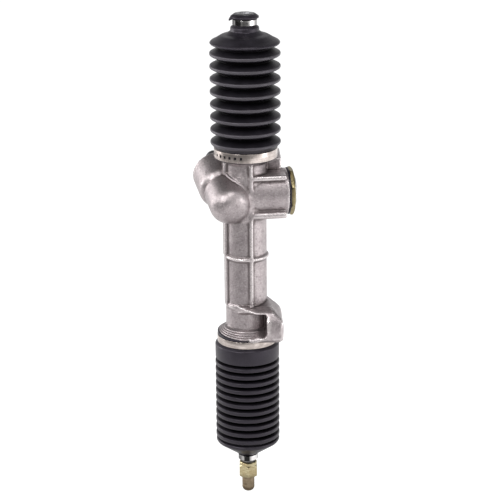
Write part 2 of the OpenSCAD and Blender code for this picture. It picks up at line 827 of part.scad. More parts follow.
// Points of one fold: its share of the pitch, and its share of the depth from root to rim
thin_fold = [[0, 0], [0.05, 0.03], [0.4, 0.84], [0.45, 0.96], [0.5, 1], [0.55, 0.96],
    [0.6, 0.84], [0.95, 0.03]];
flat_fold = [[0, 0], [0.09, 0.04], [0.19, 0.7], [0.23, 0.93], [0.3, 1], [0.7, 1],
    [0.77, 0.93], [0.81, 0.7], [0.91, 0.04]];
function fold_wall(z0, pitch, count, root, rim, fold) =
    [for (k = [0:count - 1], p = fold) [root + (rim - root) * p[1], z0 + (k + p[0]) * pitch]];
function reversed(list) = [for (i = [len(list) - 1:-1:0]) list[i]];
// The same wall again, one rubber thickness nearer to the axis
function inner_wall(wall) = reversed([for (p = wall) [p[0] - rubber_t, p[1]]]);

module upper_bellows() {
    lip_in = top_spigot_r + fit;
    lip_out = lip_in + 2.4;
    folds_end = top_rims_z + (top_rims - 1) * top_pitch;
    folds = [for (p = fold_wall(top_rims_z, top_pitch, top_rims - 1, top_root_r, top_rim_r,
        thin_fold)) if (p[1] > top_rims_z + 0.3 * top_pitch) p];
    shoulder = [[top_root_r, folds_end], [top_rim_r - 1.5, folds_end + 2.6],
        [top_rim_r - 0.3, folds_end + 3.6], [top_rim_r - 0.7, folds_end + 5],
        [top_rim_r - 4.5, folds_end + 7.6], [19, top_cone_z - 2.6]];
    neck_in = upper_rod_r + fit;
    color([0.12, 0.12, 0.13]) rotate_extrude() polygon(concat(
        [[lip_out, top_lip_low], [lip_out, top_lip_top - 0.3], [lip_out + 0.6, top_lip_top]],
        folds, shoulder,
        [[top_cone_r + 0.5, top_cone_z], [top_cone_r, top_cone_z + 1.6],
         [top_cone_r - 0.3, top_neck_z - 1.6], [top_neck_r, top_neck_z - 0.6],
         [top_neck_r, top_neck_z + neck_band_w + 0.6],
         [top_cone_r - 0.2, top_neck_z + neck_band_w + 1], [top_cone_r + 0.1, top_lip_z - 2],
         [top_cone_r - 2.8, top_lip_z], [neck_in, top_lip_z], [neck_in, top_cone_z]],
        inner_wall(concat(folds, shoulder)),
        [[lip_in - 0.3, housing_top + 0.4], [lip_in, housing_top + 0.2],
         [lip_in, top_lip_low]]));
}

module lower_bellows() {
    lip_in = low_spigot_r + fit;
    band_out = lip_in + 2.7;
    folds = fold_wall(low_rims_z, low_pitch, low_rims, low_root_r, low_rim_r, flat_fold);
    outside = concat(
        [[low_cone_r - 1, low_neck_z], [low_cone_r - 1, low_cone_z - 1],
         [low_cone_r + 0.8, low_cone_z], [low_rim_r - 1.2, low_rims_z - 4.2],
         [low_rim_r - 0.2, low_rims_z - 2.6], [low_rim_r - 1, low_rims_z - 0.5]],
        folds,
        [[low_root_r, low_rims_top], [low_rim_r - 0.4, low_rims_top + 0.8],
         [low_rim_r - 0.2, low_band_z - 1.6], [band_out, low_band_z - 0.4],
         [band_out, low_band_z + low_band_w + 0.3], [band_out + 0.4, low_lip_top - 1.2],
         [band_out - 1.4, low_lip_top]]);
    neck_in = lower_rod_r + fit;
    cone_inside = low_rim_r - 1.2 - rubber_t;
    inside = inner_wall([for (p = folds) if (p[1] > low_rims_z) p]);
    color([0.12, 0.12, 0.13]) rotate_extrude() polygon(concat(
        outside,
        [[lip_in, low_lip_top], [lip_in, housing_low - 0.3],
         [low_root_r - rubber_t, low_rims_top + 0.4]],
        inside,
        [[cone_inside, low_rims_z - 2.6], [low_cone_r + 0.6, low_cone_z + 3],
         [neck_in, low_cone_z + 1], [neck_in, low_neck_z]]));
}

// Clamps

module band(inner, w) {
    ring(inner, inner + band_t, w);
}

top_band_in = top_spigot_r + fit + 2.4 + fit;
low_band_in = low_spigot_r + fit + 2.7 + fit;
bridge_angle = 118;          // side of the upper clamp's screw, out of sight from the front

module upper_band_clamp() {
    slot_w = 2.3;
    slot_h = 2.6;
    slot_step = 10.8;
    first_slot = 253.3;
    color("lightgray") difference() {
        translate([0, 0, top_band_z]) band(top_band_in, top_band_w);
        for (k = [0:band_slots - 1]) rotate([0, 0, first_slot - k * slot_step])
            translate([top_band_in - 1, -slot_w / 2, top_band_z + (top_band_w - slot_h) / 2])
                cube([4, slot_w, slot_h]);
    }
}

bridge_w = 10;
bridge_len = 15;
screw_r = 3.2;
bridge_out = top_band_in + band_t + fit;

// Saddle over the band that holds the worm screw
module upper_clamp_bridge() {
    color("lightgray") rotate([0, 0, bridge_angle])
        translate([bridge_out, 0, top_band_z + top_band_w / 2]) difference() {
            union() {
                translate([0, -bridge_len / 2, -bridge_w / 2])
                    cube([screw_r + 0.4, bridge_len, bridge_w]);
                translate([screw_r + 0.4, bridge_len / 2, 0]) rotate([90, 0, 0])
                    cylinder(r = screw_r + 1.1, h = bridge_len);
            }
            translate([screw_r + 0.4, bridge_len / 2 + eps, 0]) rotate([90, 0, 0])
                cylinder(r = screw_r + fit, h = bridge_len + 2 * eps);
            translate([-2, -bridge_len, -bridge_w]) cube([2, 2 * bridge_len, 2 * bridge_w]);
        }
}

module upper_clamp_screw() {
    head_af = 7;
    head_h = 4.5;
    slot = 1.1;
    color("silver") rotate([0, 0, bridge_angle])
        translate([bridge_out + screw_r + 0.4, bridge_len / 2 - 1, top_band_z + top_band_w / 2])
            rotate([90, 0, 0]) difference() {
                union() {
                    cylinder(r = screw_r, h = bridge_len);
                    translate([0, 0, bridge_len]) cylinder(r = screw_r + 0.9, h = 0.9);
                    translate([0, 0, bridge_len])
                        cylinder(r = head_af / 2 / cos(30), h = head_h, $fn = 6);
                }
                translate([-slot / 2, -head_af, bridge_len + head_h - 1.6])
                    cube([slot, 2 * head_af, 3]);
            }
}

module lower_band_clamp() {
    color("lightgray") translate([0, 0, low_band_z]) band(low_band_in, low_band_w);
}

// Crimped ear of the plain lower clamp, at the back
module lower_clamp_ear() {
    ear_w = low_band_w;
    ear_out = low_band_in + band_t + fit;
    ear_angle = 100;
    wall = 1;
    color("lightgray") rotate([0, 0, ear_angle]) translate([0, 0, low_band_z])
        linear_extrude(height = ear_w) difference() {
            translate([ear_out, -4.2]) square([3.4, 8.4]);
            translate([ear_out - 1, -4.2 + wall]) square([3.4, 8.4 - 2 * wall]);
        }
}

tag_angle = 105;             // side of the neck clamps' end tags, out of sight from the front

module upper_neck_clamp() {
    inner = top_neck_r + fit;
    color("whitesmoke") translate([0, 0, top_neck_z]) union() {
        band(inner, neck_band_w);
        rotate([0, 0, tag_angle]) translate([inner + band_t / 2, -1.6, 1]) cube([3, 3.2, 3.2]);
    }
}

module lower_neck_clamp() {
    inner = low_cone_r - 1 + fit;
    color("whitesmoke") translate([0, 0, low_neck_z + 1]) union() {
        ring(inner, inner + band_t + 0.4, neck_band_w);
        rotate([0, 0, tag_angle]) translate([inner + band_t / 2, -1.6, 0.9]) cube([3, 3.2, 3.2]);
    }
}

housing();
rack_bush();
pinion_lower_bush();
bearing_outer_ring();
bearing_balls();
bearing_cage();
bearing_inner_ring();
bearing_circlip();
pinion_cover();
pinion_oil_seal();
pinion_shaft();
rack_bar();
rack_stud();
stud_locknut();
lower_stop_ring();
upper_stop_ring();
yoke();
yoke_liner();
yoke_o_ring();
yoke_spring();
yoke_plug();
yoke_ring_nut();
yoke_seal();
upper_bellows();
lower_bellows();
upper_band_clamp();
upper_clamp_bridge();
upper_clamp_screw();
lower_band_clamp();
lower_clamp_ear();
upper_neck_clamp();
lower_neck_clamp();
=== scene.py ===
# %% [markdown]
# # A rack-and-pinion steering gear, stood on end
# The real object is a die-cast aluminium housing with a steel rack sliding through it. A rubber
# bellows is clamped to each end, and a threaded stud with a hex locknut ends the rack below.
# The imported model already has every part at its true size, so this script never moves a part:
# it gives each one its finish, and swaps plain solids for better meshes in the same place.

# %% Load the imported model
import json
import math

import bmesh
import bpy
import numpy as np
from mathutils import Matrix, Vector
from mathutils.bvhtree import BVHTree


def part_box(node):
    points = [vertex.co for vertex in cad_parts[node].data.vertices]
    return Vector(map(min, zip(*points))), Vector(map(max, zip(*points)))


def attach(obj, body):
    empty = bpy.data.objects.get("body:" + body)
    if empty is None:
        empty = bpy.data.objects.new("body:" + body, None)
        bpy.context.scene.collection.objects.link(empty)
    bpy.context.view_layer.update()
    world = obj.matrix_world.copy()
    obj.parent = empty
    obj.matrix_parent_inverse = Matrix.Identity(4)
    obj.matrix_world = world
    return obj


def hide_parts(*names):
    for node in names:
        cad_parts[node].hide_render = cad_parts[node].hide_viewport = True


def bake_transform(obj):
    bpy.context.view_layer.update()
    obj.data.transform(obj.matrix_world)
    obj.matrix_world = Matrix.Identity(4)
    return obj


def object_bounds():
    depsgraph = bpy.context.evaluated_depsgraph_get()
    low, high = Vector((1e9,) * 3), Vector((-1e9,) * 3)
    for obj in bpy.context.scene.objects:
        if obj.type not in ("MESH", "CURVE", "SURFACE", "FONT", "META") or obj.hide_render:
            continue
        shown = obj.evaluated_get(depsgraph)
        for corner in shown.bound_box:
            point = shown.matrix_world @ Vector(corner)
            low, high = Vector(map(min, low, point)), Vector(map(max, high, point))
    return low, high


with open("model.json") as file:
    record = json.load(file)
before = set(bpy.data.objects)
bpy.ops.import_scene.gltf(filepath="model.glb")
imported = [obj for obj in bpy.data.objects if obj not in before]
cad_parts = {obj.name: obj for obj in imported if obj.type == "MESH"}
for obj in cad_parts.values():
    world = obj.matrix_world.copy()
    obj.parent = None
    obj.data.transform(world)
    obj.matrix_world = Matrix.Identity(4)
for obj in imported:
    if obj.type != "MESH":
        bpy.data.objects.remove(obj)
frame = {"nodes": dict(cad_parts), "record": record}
cad_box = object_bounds()
MM = 0.001
print("parts:", len(frame["nodes"]))
print("height in mm:", round((cad_box[1][2] - cad_box[0][2]) / MM, 1))

# %% [markdown]
# The picture was taken with a long lens, a little above the object and a little to its left.
# A long lens could be faked by moving far away, but then the rounding of the bellows' rims
# would be wrong. So the camera stands at the distance that the ellipses of the rims give.

# %% Camera
CAMERA_AZIMUTH = math.radians(-8)
CAMERA_ELEVATION = math.radians(18)
CAMERA_DISTANCE = 1.792
CAMERA_TARGET = Vector((0, 0, 0.2315))
CAMERA_ROLL = math.radians(0.47)
SENSOR_WIDTH = 36
LENS = 136.8
SHIFT_X = 0.007

forward = Vector((
    -math.sin(CAMERA_AZIMUTH) * math.cos(CAMERA_ELEVATION),
    math.cos(CAMERA_AZIMUTH) * math.cos(CAMERA_ELEVATION),
    -math.sin(CAMERA_ELEVATION)))
camera_data = bpy.data.cameras.new("camera")
camera_data.sensor_fit = "HORIZONTAL"
camera_data.sensor_width = SENSOR_WIDTH
camera_data.lens = LENS
camera_data.shift_x = SHIFT_X
camera_data.clip_start = 0.05
camera = bpy.data.objects.new("camera", camera_data)
bpy.context.scene.collection.objects.link(camera)
camera.matrix_world = (
    Matrix.Translation(CAMERA_TARGET - forward * CAMERA_DISTANCE)
    @ forward.to_track_quat("-Z", "Y").to_matrix().to_4x4()
    @ Matrix.Rotation(-CAMERA_ROLL, 4, "Z"))
bpy.context.scene.camera = camera
bpy.context.scene.view_settings.view_transform = "Standard"
print("camera at", [round(c, 3) for c in camera.matrix_world.translation])

# %% [markdown]
# Materials are node trees, and a node tree is only sockets joined to sockets. These helpers keep
# the trees below short: one adds a node and fills its inputs, one makes a material and hands back
# its tree with the shader already wired to the output, and the others name the common steps.

# %% Helpers for node trees
def add_node(tree, kind, settings=None, **inputs):
    """A node with its settings and inputs; an input may be a value or another node's socket."""
    node = tree.nodes.new(kind)
    for key, value in (settings or {}).items():
        setattr(node, key, value)
    for key, value in inputs.items():
        name = key.replace("_", " ")
        socket = node.inputs[int(key[1:])] if key[1:].isdigit() else node.inputs[name]
        if isinstance(value, bpy.types.NodeSocket):
            tree.links.new(value, socket)
        else:
            socket.default_value = value
    return node


def new_material(name):
    """A material, its tree and its Principled shader."""
    material = bpy.data.materials.new(name)
    material.use_nodes = True
    tree = material.node_tree
    return material, tree, tree.nodes["Principled BSDF"]


def rgba(colour):
    return (*colour, 1.0)


def object_place(tree):
    """Where a point of the piece is, in the piece's own coordinates."""
    return add_node(tree, "ShaderNodeTexCoord").outputs["Object"]


def painted(tree, name):
    """A value that is stored on the mesh's points."""
    return add_node(tree, "ShaderNodeAttribute", {"attribute_name": name}).outputs["Fac"]


def maths(tree, operation, first, second):
    return add_node(tree, "ShaderNodeMath", {"operation": operation}, _0=first,
                    _1=second).outputs[0]


def dot(tree, vector, direction):
    """How far a place or a direction reaches along a fixed direction."""
    return add_node(tree, "ShaderNodeVectorMath", {"operation": "DOT_PRODUCT"}, _0=vector,
                    _1=tuple(direction)).outputs["Value"]


def length_of(tree, vector):
    return add_node(tree, "ShaderNodeVectorMath", {"operation": "LENGTH"},
                    _0=vector).outputs["Value"]


def noise(tree, scale, detail=3.0, vector=None, roughness=0.55):
    """Noise in Object coordinates, at so many features a metre."""
    if vector is None:
        vector = object_place(tree)
    return add_node(tree, "ShaderNodeTexNoise", Vector=vector, Scale=scale, Detail=detail,
                    Roughness=roughness).outputs["Fac"]


def remap(tree, value, low, high, to_low, to_high):
    """A value's range stretched to another range, and held inside it."""
    node = add_node(tree, "ShaderNodeMapRange", Value=value)
    for index, number in zip((1, 2, 3, 4), (low, high, to_low, to_high)):
        node.inputs[index].default_value = number
    return node.outputs["Result"]


def mix_colour(tree, amount, first, second):
    """Two colours mixed; each may be a socket or a plain colour."""
    node = add_node(tree, "ShaderNodeMix", {"data_type": "RGBA"})
    for index, value in ((0, amount), (6, first), (7, second)):
        if isinstance(value, bpy.types.NodeSocket):
            tree.links.new(value, node.inputs[index])
        else:
            node.inputs[index].default_value = value if index == 0 else rgba(value)
    return node.outputs[2]


def bump(tree, shader, height, distance, strength=1.0, under=None):
    """Bump on the shader from a height, in metres of depth."""
    node = add_node(tree, "ShaderNodeBump", Height=height, Distance=distance, Strength=strength)
    if under is not None:
        tree.links.new(under, node.inputs["Normal"])
    tree.links.new(node.outputs["Normal"], shader.inputs["Normal"])
    return node.outputs["Normal"]


# %% [markdown]
# Raw die-cast aluminium is neither mirror nor paint. It is a pale, slightly warm grey with a sandy
# skin of sub-millimetre grain and cloudy patches where the metal cooled at different rates. On top
# of that, its edges, which tumbling has also made paler, carry a painted highlight, and its inside
# corners carry a painted shade. These two come from attributes that are measured on the mesh
# further down, because they must follow the form.

# %% Cast aluminium
DULL_CAST = (0.31, 0.272, 0.278)
PALE_CAST = (0.43, 0.382, 0.387)


def cast_aluminium():
    material, tree, shader = new_material("cast_aluminium")
    cloud = noise(tree, 60, 4)
    patch = noise(tree, 330, 4, roughness=0.7)
    grain = noise(tree, 1150, 2, roughness=0.7)
    wear_and_highlight, hollow = painted(tree, "wear_and_highlight"), painted(tree, "hollow")
    tone = mix_colour(tree, remap(tree, cloud, 0.3, 0.7, 0, 1), DULL_CAST, PALE_CAST)
    for value, start, full, amount, colour in (
            (patch, 0.50, 0.70, 0.7, (0.19, 0.165, 0.17)),
            (grain, 0.55, 0.75, 0.55, (0.80, 0.74, 0.74)),
            (grain, 0.45, 0.28, 0.6, (0.15, 0.13, 0.135)),
            # Painted shade darkens the inside corners; a painted highlight, partly real tumbling
            # wear, brightens the edges.
            (hollow, 0.0, 1.0, 0.8, (0.10, 0.082, 0.08)),
            (wear_and_highlight, 0.0, 1.0, 0.5, (0.80, 0.75, 0.745))):
        tone = mix_colour(tree, remap(tree, value, start, full, 0, amount), tone, colour)
    tree.links.new(tone, shader.inputs["Base Color"])
    shader.inputs["Metallic"].default_value = 0.9
    rough = maths(tree, "SUBTRACT", remap(tree, patch, 0.3, 0.7, 0.30, 0.46),
                  remap(tree, wear_and_highlight, 0.0, 1.0, 0.0, 0.1))
    tree.links.new(rough, shader.inputs["Roughness"])
    coarse = bump(tree, shader, patch, 0.00040, 0.8)
    bump(tree, shader, grain, 0.00018, 0.9, under=coarse)
    return material


# %% [markdown]
# The machined and plated parts share one recipe: a metal with fine turning or brushing marks round
# its own axis. The marks could be painted from an image. Here they are noise read in cylinder
# coordinates, squeezed along the axis and stretched round it, so they follow any turned part.

# %% Turned and plated metals
def around_z(tree, along, around):
    """Coordinates that follow a ring about Z: the angle, the height and the radius."""
    parts = add_node(tree, "ShaderNodeSeparateXYZ", Vector=object_place(tree))
    x, y, z = (parts.outputs[axis] for axis in "XYZ")
    angle = maths(tree, "ARCTAN2", y, x)
    radius = length_of(tree, add_node(tree, "ShaderNodeCombineXYZ", X=x, Y=y).outputs[0])
    return add_node(tree, "ShaderNodeCombineXYZ", X=maths(tree, "MULTIPLY", angle, around),
                    Y=maths(tree, "MULTIPLY", z, along),
                    Z=maths(tree, "MULTIPLY", radius, along)).outputs[0]


def metal(name, dark, light, rough=(0.28, 0.42), marks=(900, 1.2), depth=0.00002, stain=None):
    """A metal between two tones, with marks round Z and an optional stained tint in patches."""
    material, tree, shader = new_material(name)
    lines = noise(tree, 1.0, 4, vector=around_z(tree, marks[0], marks[1]))
    cloud = noise(tree, 130, 4)
    tone = mix_colour(tree, remap(tree, lines, 0.3, 0.7, 0, 1), dark, light)
    if stain:
        tone = mix_colour(tree, remap(tree, cloud, 0.42, 0.66, 0, 0.8), tone, stain)
    tree.links.new(tone, shader.inputs["Base Color"])
    shader.inputs["Metallic"].default_value = 1.0
    tree.links.new(remap(tree, cloud, 0.3, 0.7, *rough), shader.inputs["Roughness"])
    bump(tree, shader, lines, depth, 0.5)
    return material


# %% [markdown]
# The bellows' two neck bands are so bright that they only mirror the room, in hard-edged stripes
# that no soft lamp gives. A whole studio could be modelled for them. Here each band's reflections
# are painted into its colour instead, as stripes laid across the band from left to right, as a
# ramp of greys.

# %% Bright plating with painted reflections
ACROSS = (0.99, 0.139, 0)
BETWEEN_BANDS = 0.2
UPPER_PAINTED_REFLECTIONS = ((0.0, 0.04), (0.2, 0.10), (0.25, 0.75), (0.31, 0.40), (0.55, 0.34), (0.62, 0.9),
                 (0.74, 0.85), (0.82, 0.30), (1.0, 0.08))
LOWER_PAINTED_REFLECTIONS = ((0.0, 0.05), (0.14, 0.45), (0.2, 0.02), (0.42, 0.02), (0.46, 0.35), (0.58, 0.85),
                 (0.85, 0.8), (0.93, 0.1), (1.0, 0.05))


def ramp(tree, value, stops):
    """A grey that follows the stops, each a place from 0 to 1 and a brightness."""
    node = add_node(tree, "ShaderNodeValToRGB", Fac=value)
    elements = node.color_ramp.elements
    elements.remove(elements[1])
    for index, (place, grey) in enumerate(stops):
        element = elements[0] if index == 0 else elements.new(place)
        element.position = place
        element.color = (grey, grey * 0.97, grey * 0.96, 1)
    return node.outputs["Color"]


def chrome(name):
    """Bright plating with painted reflections; the band above BETWEEN_BANDS has the upper set."""
    material, tree, shader = new_material(name)
    parts = add_node(tree, "ShaderNodeSeparateXYZ", Vector=object_place(tree))
    flat = add_node(tree, "ShaderNodeCombineXYZ", X=parts.outputs["X"], Y=parts.outputs["Y"])
    outward = add_node(tree, "ShaderNodeVectorMath", {"operation": "NORMALIZE"}, _0=flat.outputs[0])
    place = remap(tree, dot(tree, outward.outputs[0], ACROSS), -1, 1, 0, 1)
    high = remap(tree, parts.outputs["Z"], BETWEEN_BANDS, BETWEEN_BANDS + 0.01, 0, 1)
    tone = mix_colour(tree, high, ramp(tree, place, LOWER_PAINTED_REFLECTIONS),
                      ramp(tree, place, UPPER_PAINTED_REFLECTIONS))
    tree.links.new(tone, shader.inputs["Base Color"])
    shader.inputs["Metallic"].default_value = 1.0
    shader.inputs["Roughness"].default_value = 0.16
    return material


# %% [markdown]
# Moulded black rubber looks grey where it catches light and black where it folds. Its own colour is
# almost black; what shows is a dull sheen, broken by a faint bloom of dust and the fine texture of
# the mould. A coat would look like wet paint, so the sheen is only roughness and noise. The rims
# also carry a painted highlight, and deep in the folds a painted shade blackens the colour and
# takes the sheen away.

# %% Rubber and plastic
def rubber(name="bellows_rubber", tone=0.011, rough=(0.34, 0.48)):
    material, tree, shader = new_material(name)
    bloom = noise(tree, 70, 4)
    fine = noise(tree, 1800, 2)
    hollow, wear_and_highlight = painted(tree, "hollow"), painted(tree, "wear_and_highlight")
    colour = mix_colour(tree, remap(tree, bloom, 0.4, 0.75, 0, 1),
                        (tone, tone * 0.88, tone * 1.15), (tone * 1.9, tone * 1.7, tone * 2.2))
    # A painted highlight on the rims, then painted shade that blackens the folds and, below, takes
    # their sheen away.
    colour = mix_colour(tree, remap(tree, wear_and_highlight, 0.0, 1.0, 0, 1), colour, (0.085, 0.08, 0.088))
    colour = mix_colour(tree, remap(tree, hollow, 0.0, 1.0, 0, 1), colour, (0.0, 0.0, 0.0))
    tree.links.new(colour, shader.inputs["Base Color"])
    tree.links.new(remap(tree, bloom, 0.3, 0.7, *rough), shader.inputs["Roughness"])
    tree.links.new(remap(tree, hollow, 0.0, 1.0, 0.4, 0.0), shader.inputs["Specular IOR Level"])
    shader.inputs["Specular Tint"].default_value = (1.0, 0.9, 1.06, 1.0)
    bump(tree, shader, fine, 0.00003, 0.5)
    return material


def plastic(name, dark, light, rough=0.45):
    material, tree, shader = new_material(name)
    tone = mix_colour(tree, remap(tree, noise(tree, 300, 3), 0.3, 0.7, 0, 1), dark, light)
    tree.links.new(tone, shader.inputs["Base Color"])
    shader.inputs["Roughness"].default_value = rough
    bump(tree, shader, noise(tree, 1600, 2), 0.00002, 0.4)
    return material


# %% [markdown]
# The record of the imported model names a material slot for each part, and the slots say what the
# real part is made of. One finish is made for each slot and put on every CAD part, so that also
# the parts inside the housing look right when they are taken out.

# %% All the finishes
FINISH = {
    "cast_aluminium": cast_aluminium(),
    "rack_steel": metal("rack_steel", (0.16, 0.16, 0.17), (0.28, 0.28, 0.29)),
    "machined_steel": metal("machined_steel", (0.50, 0.50, 0.50), (0.68, 0.68, 0.68)),
    "stud_steel": metal("stud_steel", (0.25, 0.19, 0.125), (0.42, 0.34, 0.24), rough=(0.34, 0.5),
                        stain=(0.19, 0.13, 0.08)),
    "zinc_yellow": metal("zinc_yellow", (0.34, 0.285, 0.165), (0.54, 0.48, 0.31),
                         rough=(0.14, 0.26), stain=(0.36, 0.28, 0.15)),
    "zinc_olive": metal("zinc_olive", (0.20, 0.165, 0.085), (0.32, 0.27, 0.15), rough=(0.22, 0.36),
                        stain=(0.24, 0.185, 0.09)),
    "bearing_steel": metal("bearing_steel", (0.62, 0.63, 0.64), (0.76, 0.77, 0.78),
                           rough=(0.1, 0.2)),
    "cage_brass": metal("cage_brass", (0.55, 0.42, 0.20), (0.72, 0.58, 0.30)),
    "band_steel": metal("band_steel", (0.40, 0.35, 0.325), (0.60, 0.535, 0.505), rough=(0.22, 0.36),
                        stain=(0.30, 0.26, 0.24)),
    "neck_band_steel": chrome("neck_band_steel"),
    "bush_plastic": plastic("bush_plastic", (0.66, 0.63, 0.54), (0.76, 0.73, 0.64)),
    "bush_bronze": metal("bush_bronze", (0.36, 0.25, 0.14), (0.52, 0.38, 0.22)),
    "liner_plastic": plastic("liner_plastic", (0.74, 0.74, 0.72), (0.84, 0.84, 0.82)),
    "spring_steel": metal("spring_steel", (0.20, 0.20, 0.21), (0.36, 0.36, 0.37)),
    "bellows_rubber": rubber(),
    "seal_rubber": rubber("seal_rubber", 0.012, (0.3, 0.42)),
}
SLOT_OF = {part["node"]: part["material_slot"] for part in frame["record"]["subparts"]}
BODY_OF = {node: body for body, nodes in frame["record"]["behaviour"]["bodies"].items()
           for node in nodes}
for node_name, node_object in frame["nodes"].items():
    node_object.data.materials.clear()
    node_object.data.materials.append(FINISH[SLOT_OF[node_name]])
print("finishes:", ", ".join(sorted(FINISH)))

# %% [markdown]
# Every new mesh goes through the same last step: it takes the finish of the part that it stands
# for, is shaded smooth except at its sharp edges, rides on that part's body unless it is a bellows,
# and hides that part.

# %% Helpers for meshes
def new_object(name, mesh):
    piece = bpy.data.objects.new(name, mesh)
    bpy.context.scene.collection.objects.link(piece)
    return piece


def mesh_object(name, points, faces):
    mesh = bpy.data.meshes.new(name)
    mesh.from_pydata(points, [], faces)
    mesh.update()
    return new_object(name, mesh)


def joined(name, *pieces):
    """Several meshes in one new object."""
    mesh = bmesh.new()
    for piece in pieces:
        mesh.from_mesh(piece.data)
    data = bpy.data.meshes.new(name)
    mesh.to_mesh(data)
    mesh.free()
    for piece in pieces:
        old = piece.data
        bpy.data.objects.remove(piece)
        bpy.data.meshes.remove(old)
    return new_object(name, data)


def tidy_normals(piece, merge=1e-7):
    """Merges doubled points and turns every face outwards."""
    work = bmesh.new()
    work.from_mesh(piece.data)
    bmesh.ops.remove_doubles(work, verts=work.verts, dist=merge)
    bmesh.ops.recalc_face_normals(work, faces=work.faces)
    work.to_mesh(piece.data)
    work.free()


def baked(piece):
    """The piece with its modifiers turned into plain mesh."""
    bpy.context.view_layer.update()
    graph = bpy.context.evaluated_depsgraph_get()
    mesh = bpy.data.meshes.new_from_object(piece.evaluated_get(graph))
    old = piece.data
    piece.modifiers.clear()
    piece.data = mesh
    bpy.data.meshes.remove(old)
    return piece


def dress(piece, node, smooth=40, blended=False):
    """Gives the piece the finish of its CAD part and, unless blended is set, its body, and hides
    that part.
    """
    slot = SLOT_OF[node]
    piece.data.materials.clear()
    piece.data.materials.append(FINISH[slot])
    piece.data.shade_smooth()
    piece.data.set_sharp_from_angle(angle=math.radians(smooth))
    if not blended:
        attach(piece, BODY_OF[node])
    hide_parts(node)
    print(piece.name, "faces:", len(piece.data.polygons))
    return piece


def at_angle(profile, angle):
    """A profile's points (radius, height), in millimetres, set up at an angle round Z."""
    return [(r * MM * math.cos(angle), r * MM * math.sin(angle), z * MM) for r, z in profile]


def skinned(name, rings, closed=False):
    """A skin over a row of rings of points; the row's ends are capped unless it closes."""
    rows, count = len(rings[0]), len(rings)
    faces = [(k * rows + j, k * rows + (j + 1) % rows,
              (k + 1) % count * rows + (j + 1) % rows, (k + 1) % count * rows + j)
             for k in range(count if closed else count - 1) for j in range(rows)]
    if not closed:
        faces += [tuple(range(rows)), tuple(range((count - 1) * rows, count * rows))]
    piece = mesh_object(name, [point for ring in rings for point in ring], faces)
    tidy_normals(piece)
    return piece


# %% [markdown]
# The housing is the main piece. A casting has no sharp edge anywhere except where it was machined,
# and a fillet in every inside corner. Bevelling each edge of the CAD solid by hand would be long,
# and would fail where three forms meet. Instead the solid is rebuilt from small cubes of space,
# called voxels, and relaxed, which rounds all edges alike. To relax is only to move every point
# a share of the way to the mean of its neighbours, a few times over.

# %% Relaxing a mesh
def mesh_arrays(mesh):
    points = np.zeros(len(mesh.vertices) * 3)
    mesh.vertices.foreach_get("co", points)
    edges = np.zeros(len(mesh.edges) * 2, int)
    mesh.edges.foreach_get("vertices", edges)
    return points.reshape(-1, 3), edges.reshape(-1, 2)


def neighbours_mean(points, edges):
    """The mean place of each point's neighbours."""
    total = np.zeros_like(points)
    count = np.bincount(edges.ravel(), minlength=len(points)).astype(float)
    for axis in range(points.shape[1]):
        total[:, axis] = (np.bincount(edges[:, 0], points[edges[:, 1], axis], len(points))
                          + np.bincount(edges[:, 1], points[edges[:, 0], axis], len(points)))
    return total / np.maximum(count, 1)[:, None]


def relaxed(points, edges, rounds, share):
    """The points relaxed; the share is a number, or one for each point to relax only some."""
    for _ in range(rounds):
        points = points + share * (neighbours_mean(points, edges) - points)
    return points


def fade(value, start, end):
    """0 at the start, 1 at the end, and straight in between; works on arrays too."""
    return np.clip((value - start) / (end - start), 0, 1)


# %% [markdown]
# Where the pinion tower meets the rack tube, the mould has left a fine raised seam. It could be
# drawn point by point, but then it would hang in the air as soon as the tower changed. So rays are
# sent at the CAD solid from outside, and the highest hit that lies further out than the tube is
# the tower's edge. A thin bead is then swept along the points that were found, once under the
# cast skin, which makes a soft ridge of it, and once over it.

# %% Seam between tower and tube
TUBE_R = 19.1
SEAM_DEGREES = range(196, 259, 3)
SEAM_TOP, SEAM_FOOT = 320, 268
BEAD_UNDER, BEAD_OVER = 1.1, 1.6


def tower_seam():
    """Points up the corner where the pinion tower meets the rack tube, in millimetres."""
    mesh = frame["nodes"]["housing"].data
    solid = BVHTree.FromPolygons([v.co for v in mesh.vertices],
                                 [tuple(f.vertices) for f in mesh.polygons])
    seam = []
    for degrees in SEAM_DEGREES:
        out = Vector((math.cos(math.radians(degrees)), math.sin(math.radians(degrees)), 0))
        for z in np.arange(SEAM_TOP, SEAM_FOOT, -0.5):
            hit = solid.ray_cast((out * 80 + Vector((0, 0, z))) * MM, -out)[0]
            if hit and math.hypot(hit.x, hit.y) / MM > TUBE_R + 3:
                if z < SEAM_TOP - 1:
                    seam.append(out * (TUBE_R + 0.8) + Vector((0, 0, z + 1.2)))
                break
    return seam


SEAM = tower_seam()
print("seam points:", len(SEAM))


def seam_bead(radius, sides=8):
    """A raised line along the seam, like the one that two halves of a mould leave."""
    path = [place * MM for place in SEAM]
    rings = []
    for index, place in enumerate(path):
        along = (path[min(index + 1, len(path) - 1)] - path[max(index - 1, 0)]).normalized()
        out = Vector((place.x, place.y, 0)).normalized()
        side = along.cross(out).normalized()
        rings.append([place + radius * MM * (math.cos(a) * out + math.sin(a) * side)
                      for a in (2 * math.pi * k / sides for k in range(sides))])
    return skinned("seam_bead", rings)


# %% [markdown]
# The lower ear is a swollen lug between two webs. On the real casting their edges bend and bow in
# ways that the solid's straight webs don't, and the tower ends in a smooth dome. A sculptor would
# push such places with a brush. Here boxes of space with soft sides say which points are relaxed
# more, or moved, and how far. The machined mounting face is left where it is.

# %% Lower ear and tower end
MOUNT_TURN = math.radians(-6)
MOUNT_FACE = 32.2
TOWER_FOOT = Vector((-19.31, -2.71, 288))
TOWER_AXIS = Vector((-0.12993, 0.92449, 0.35837))
TOWER_R = 20.6


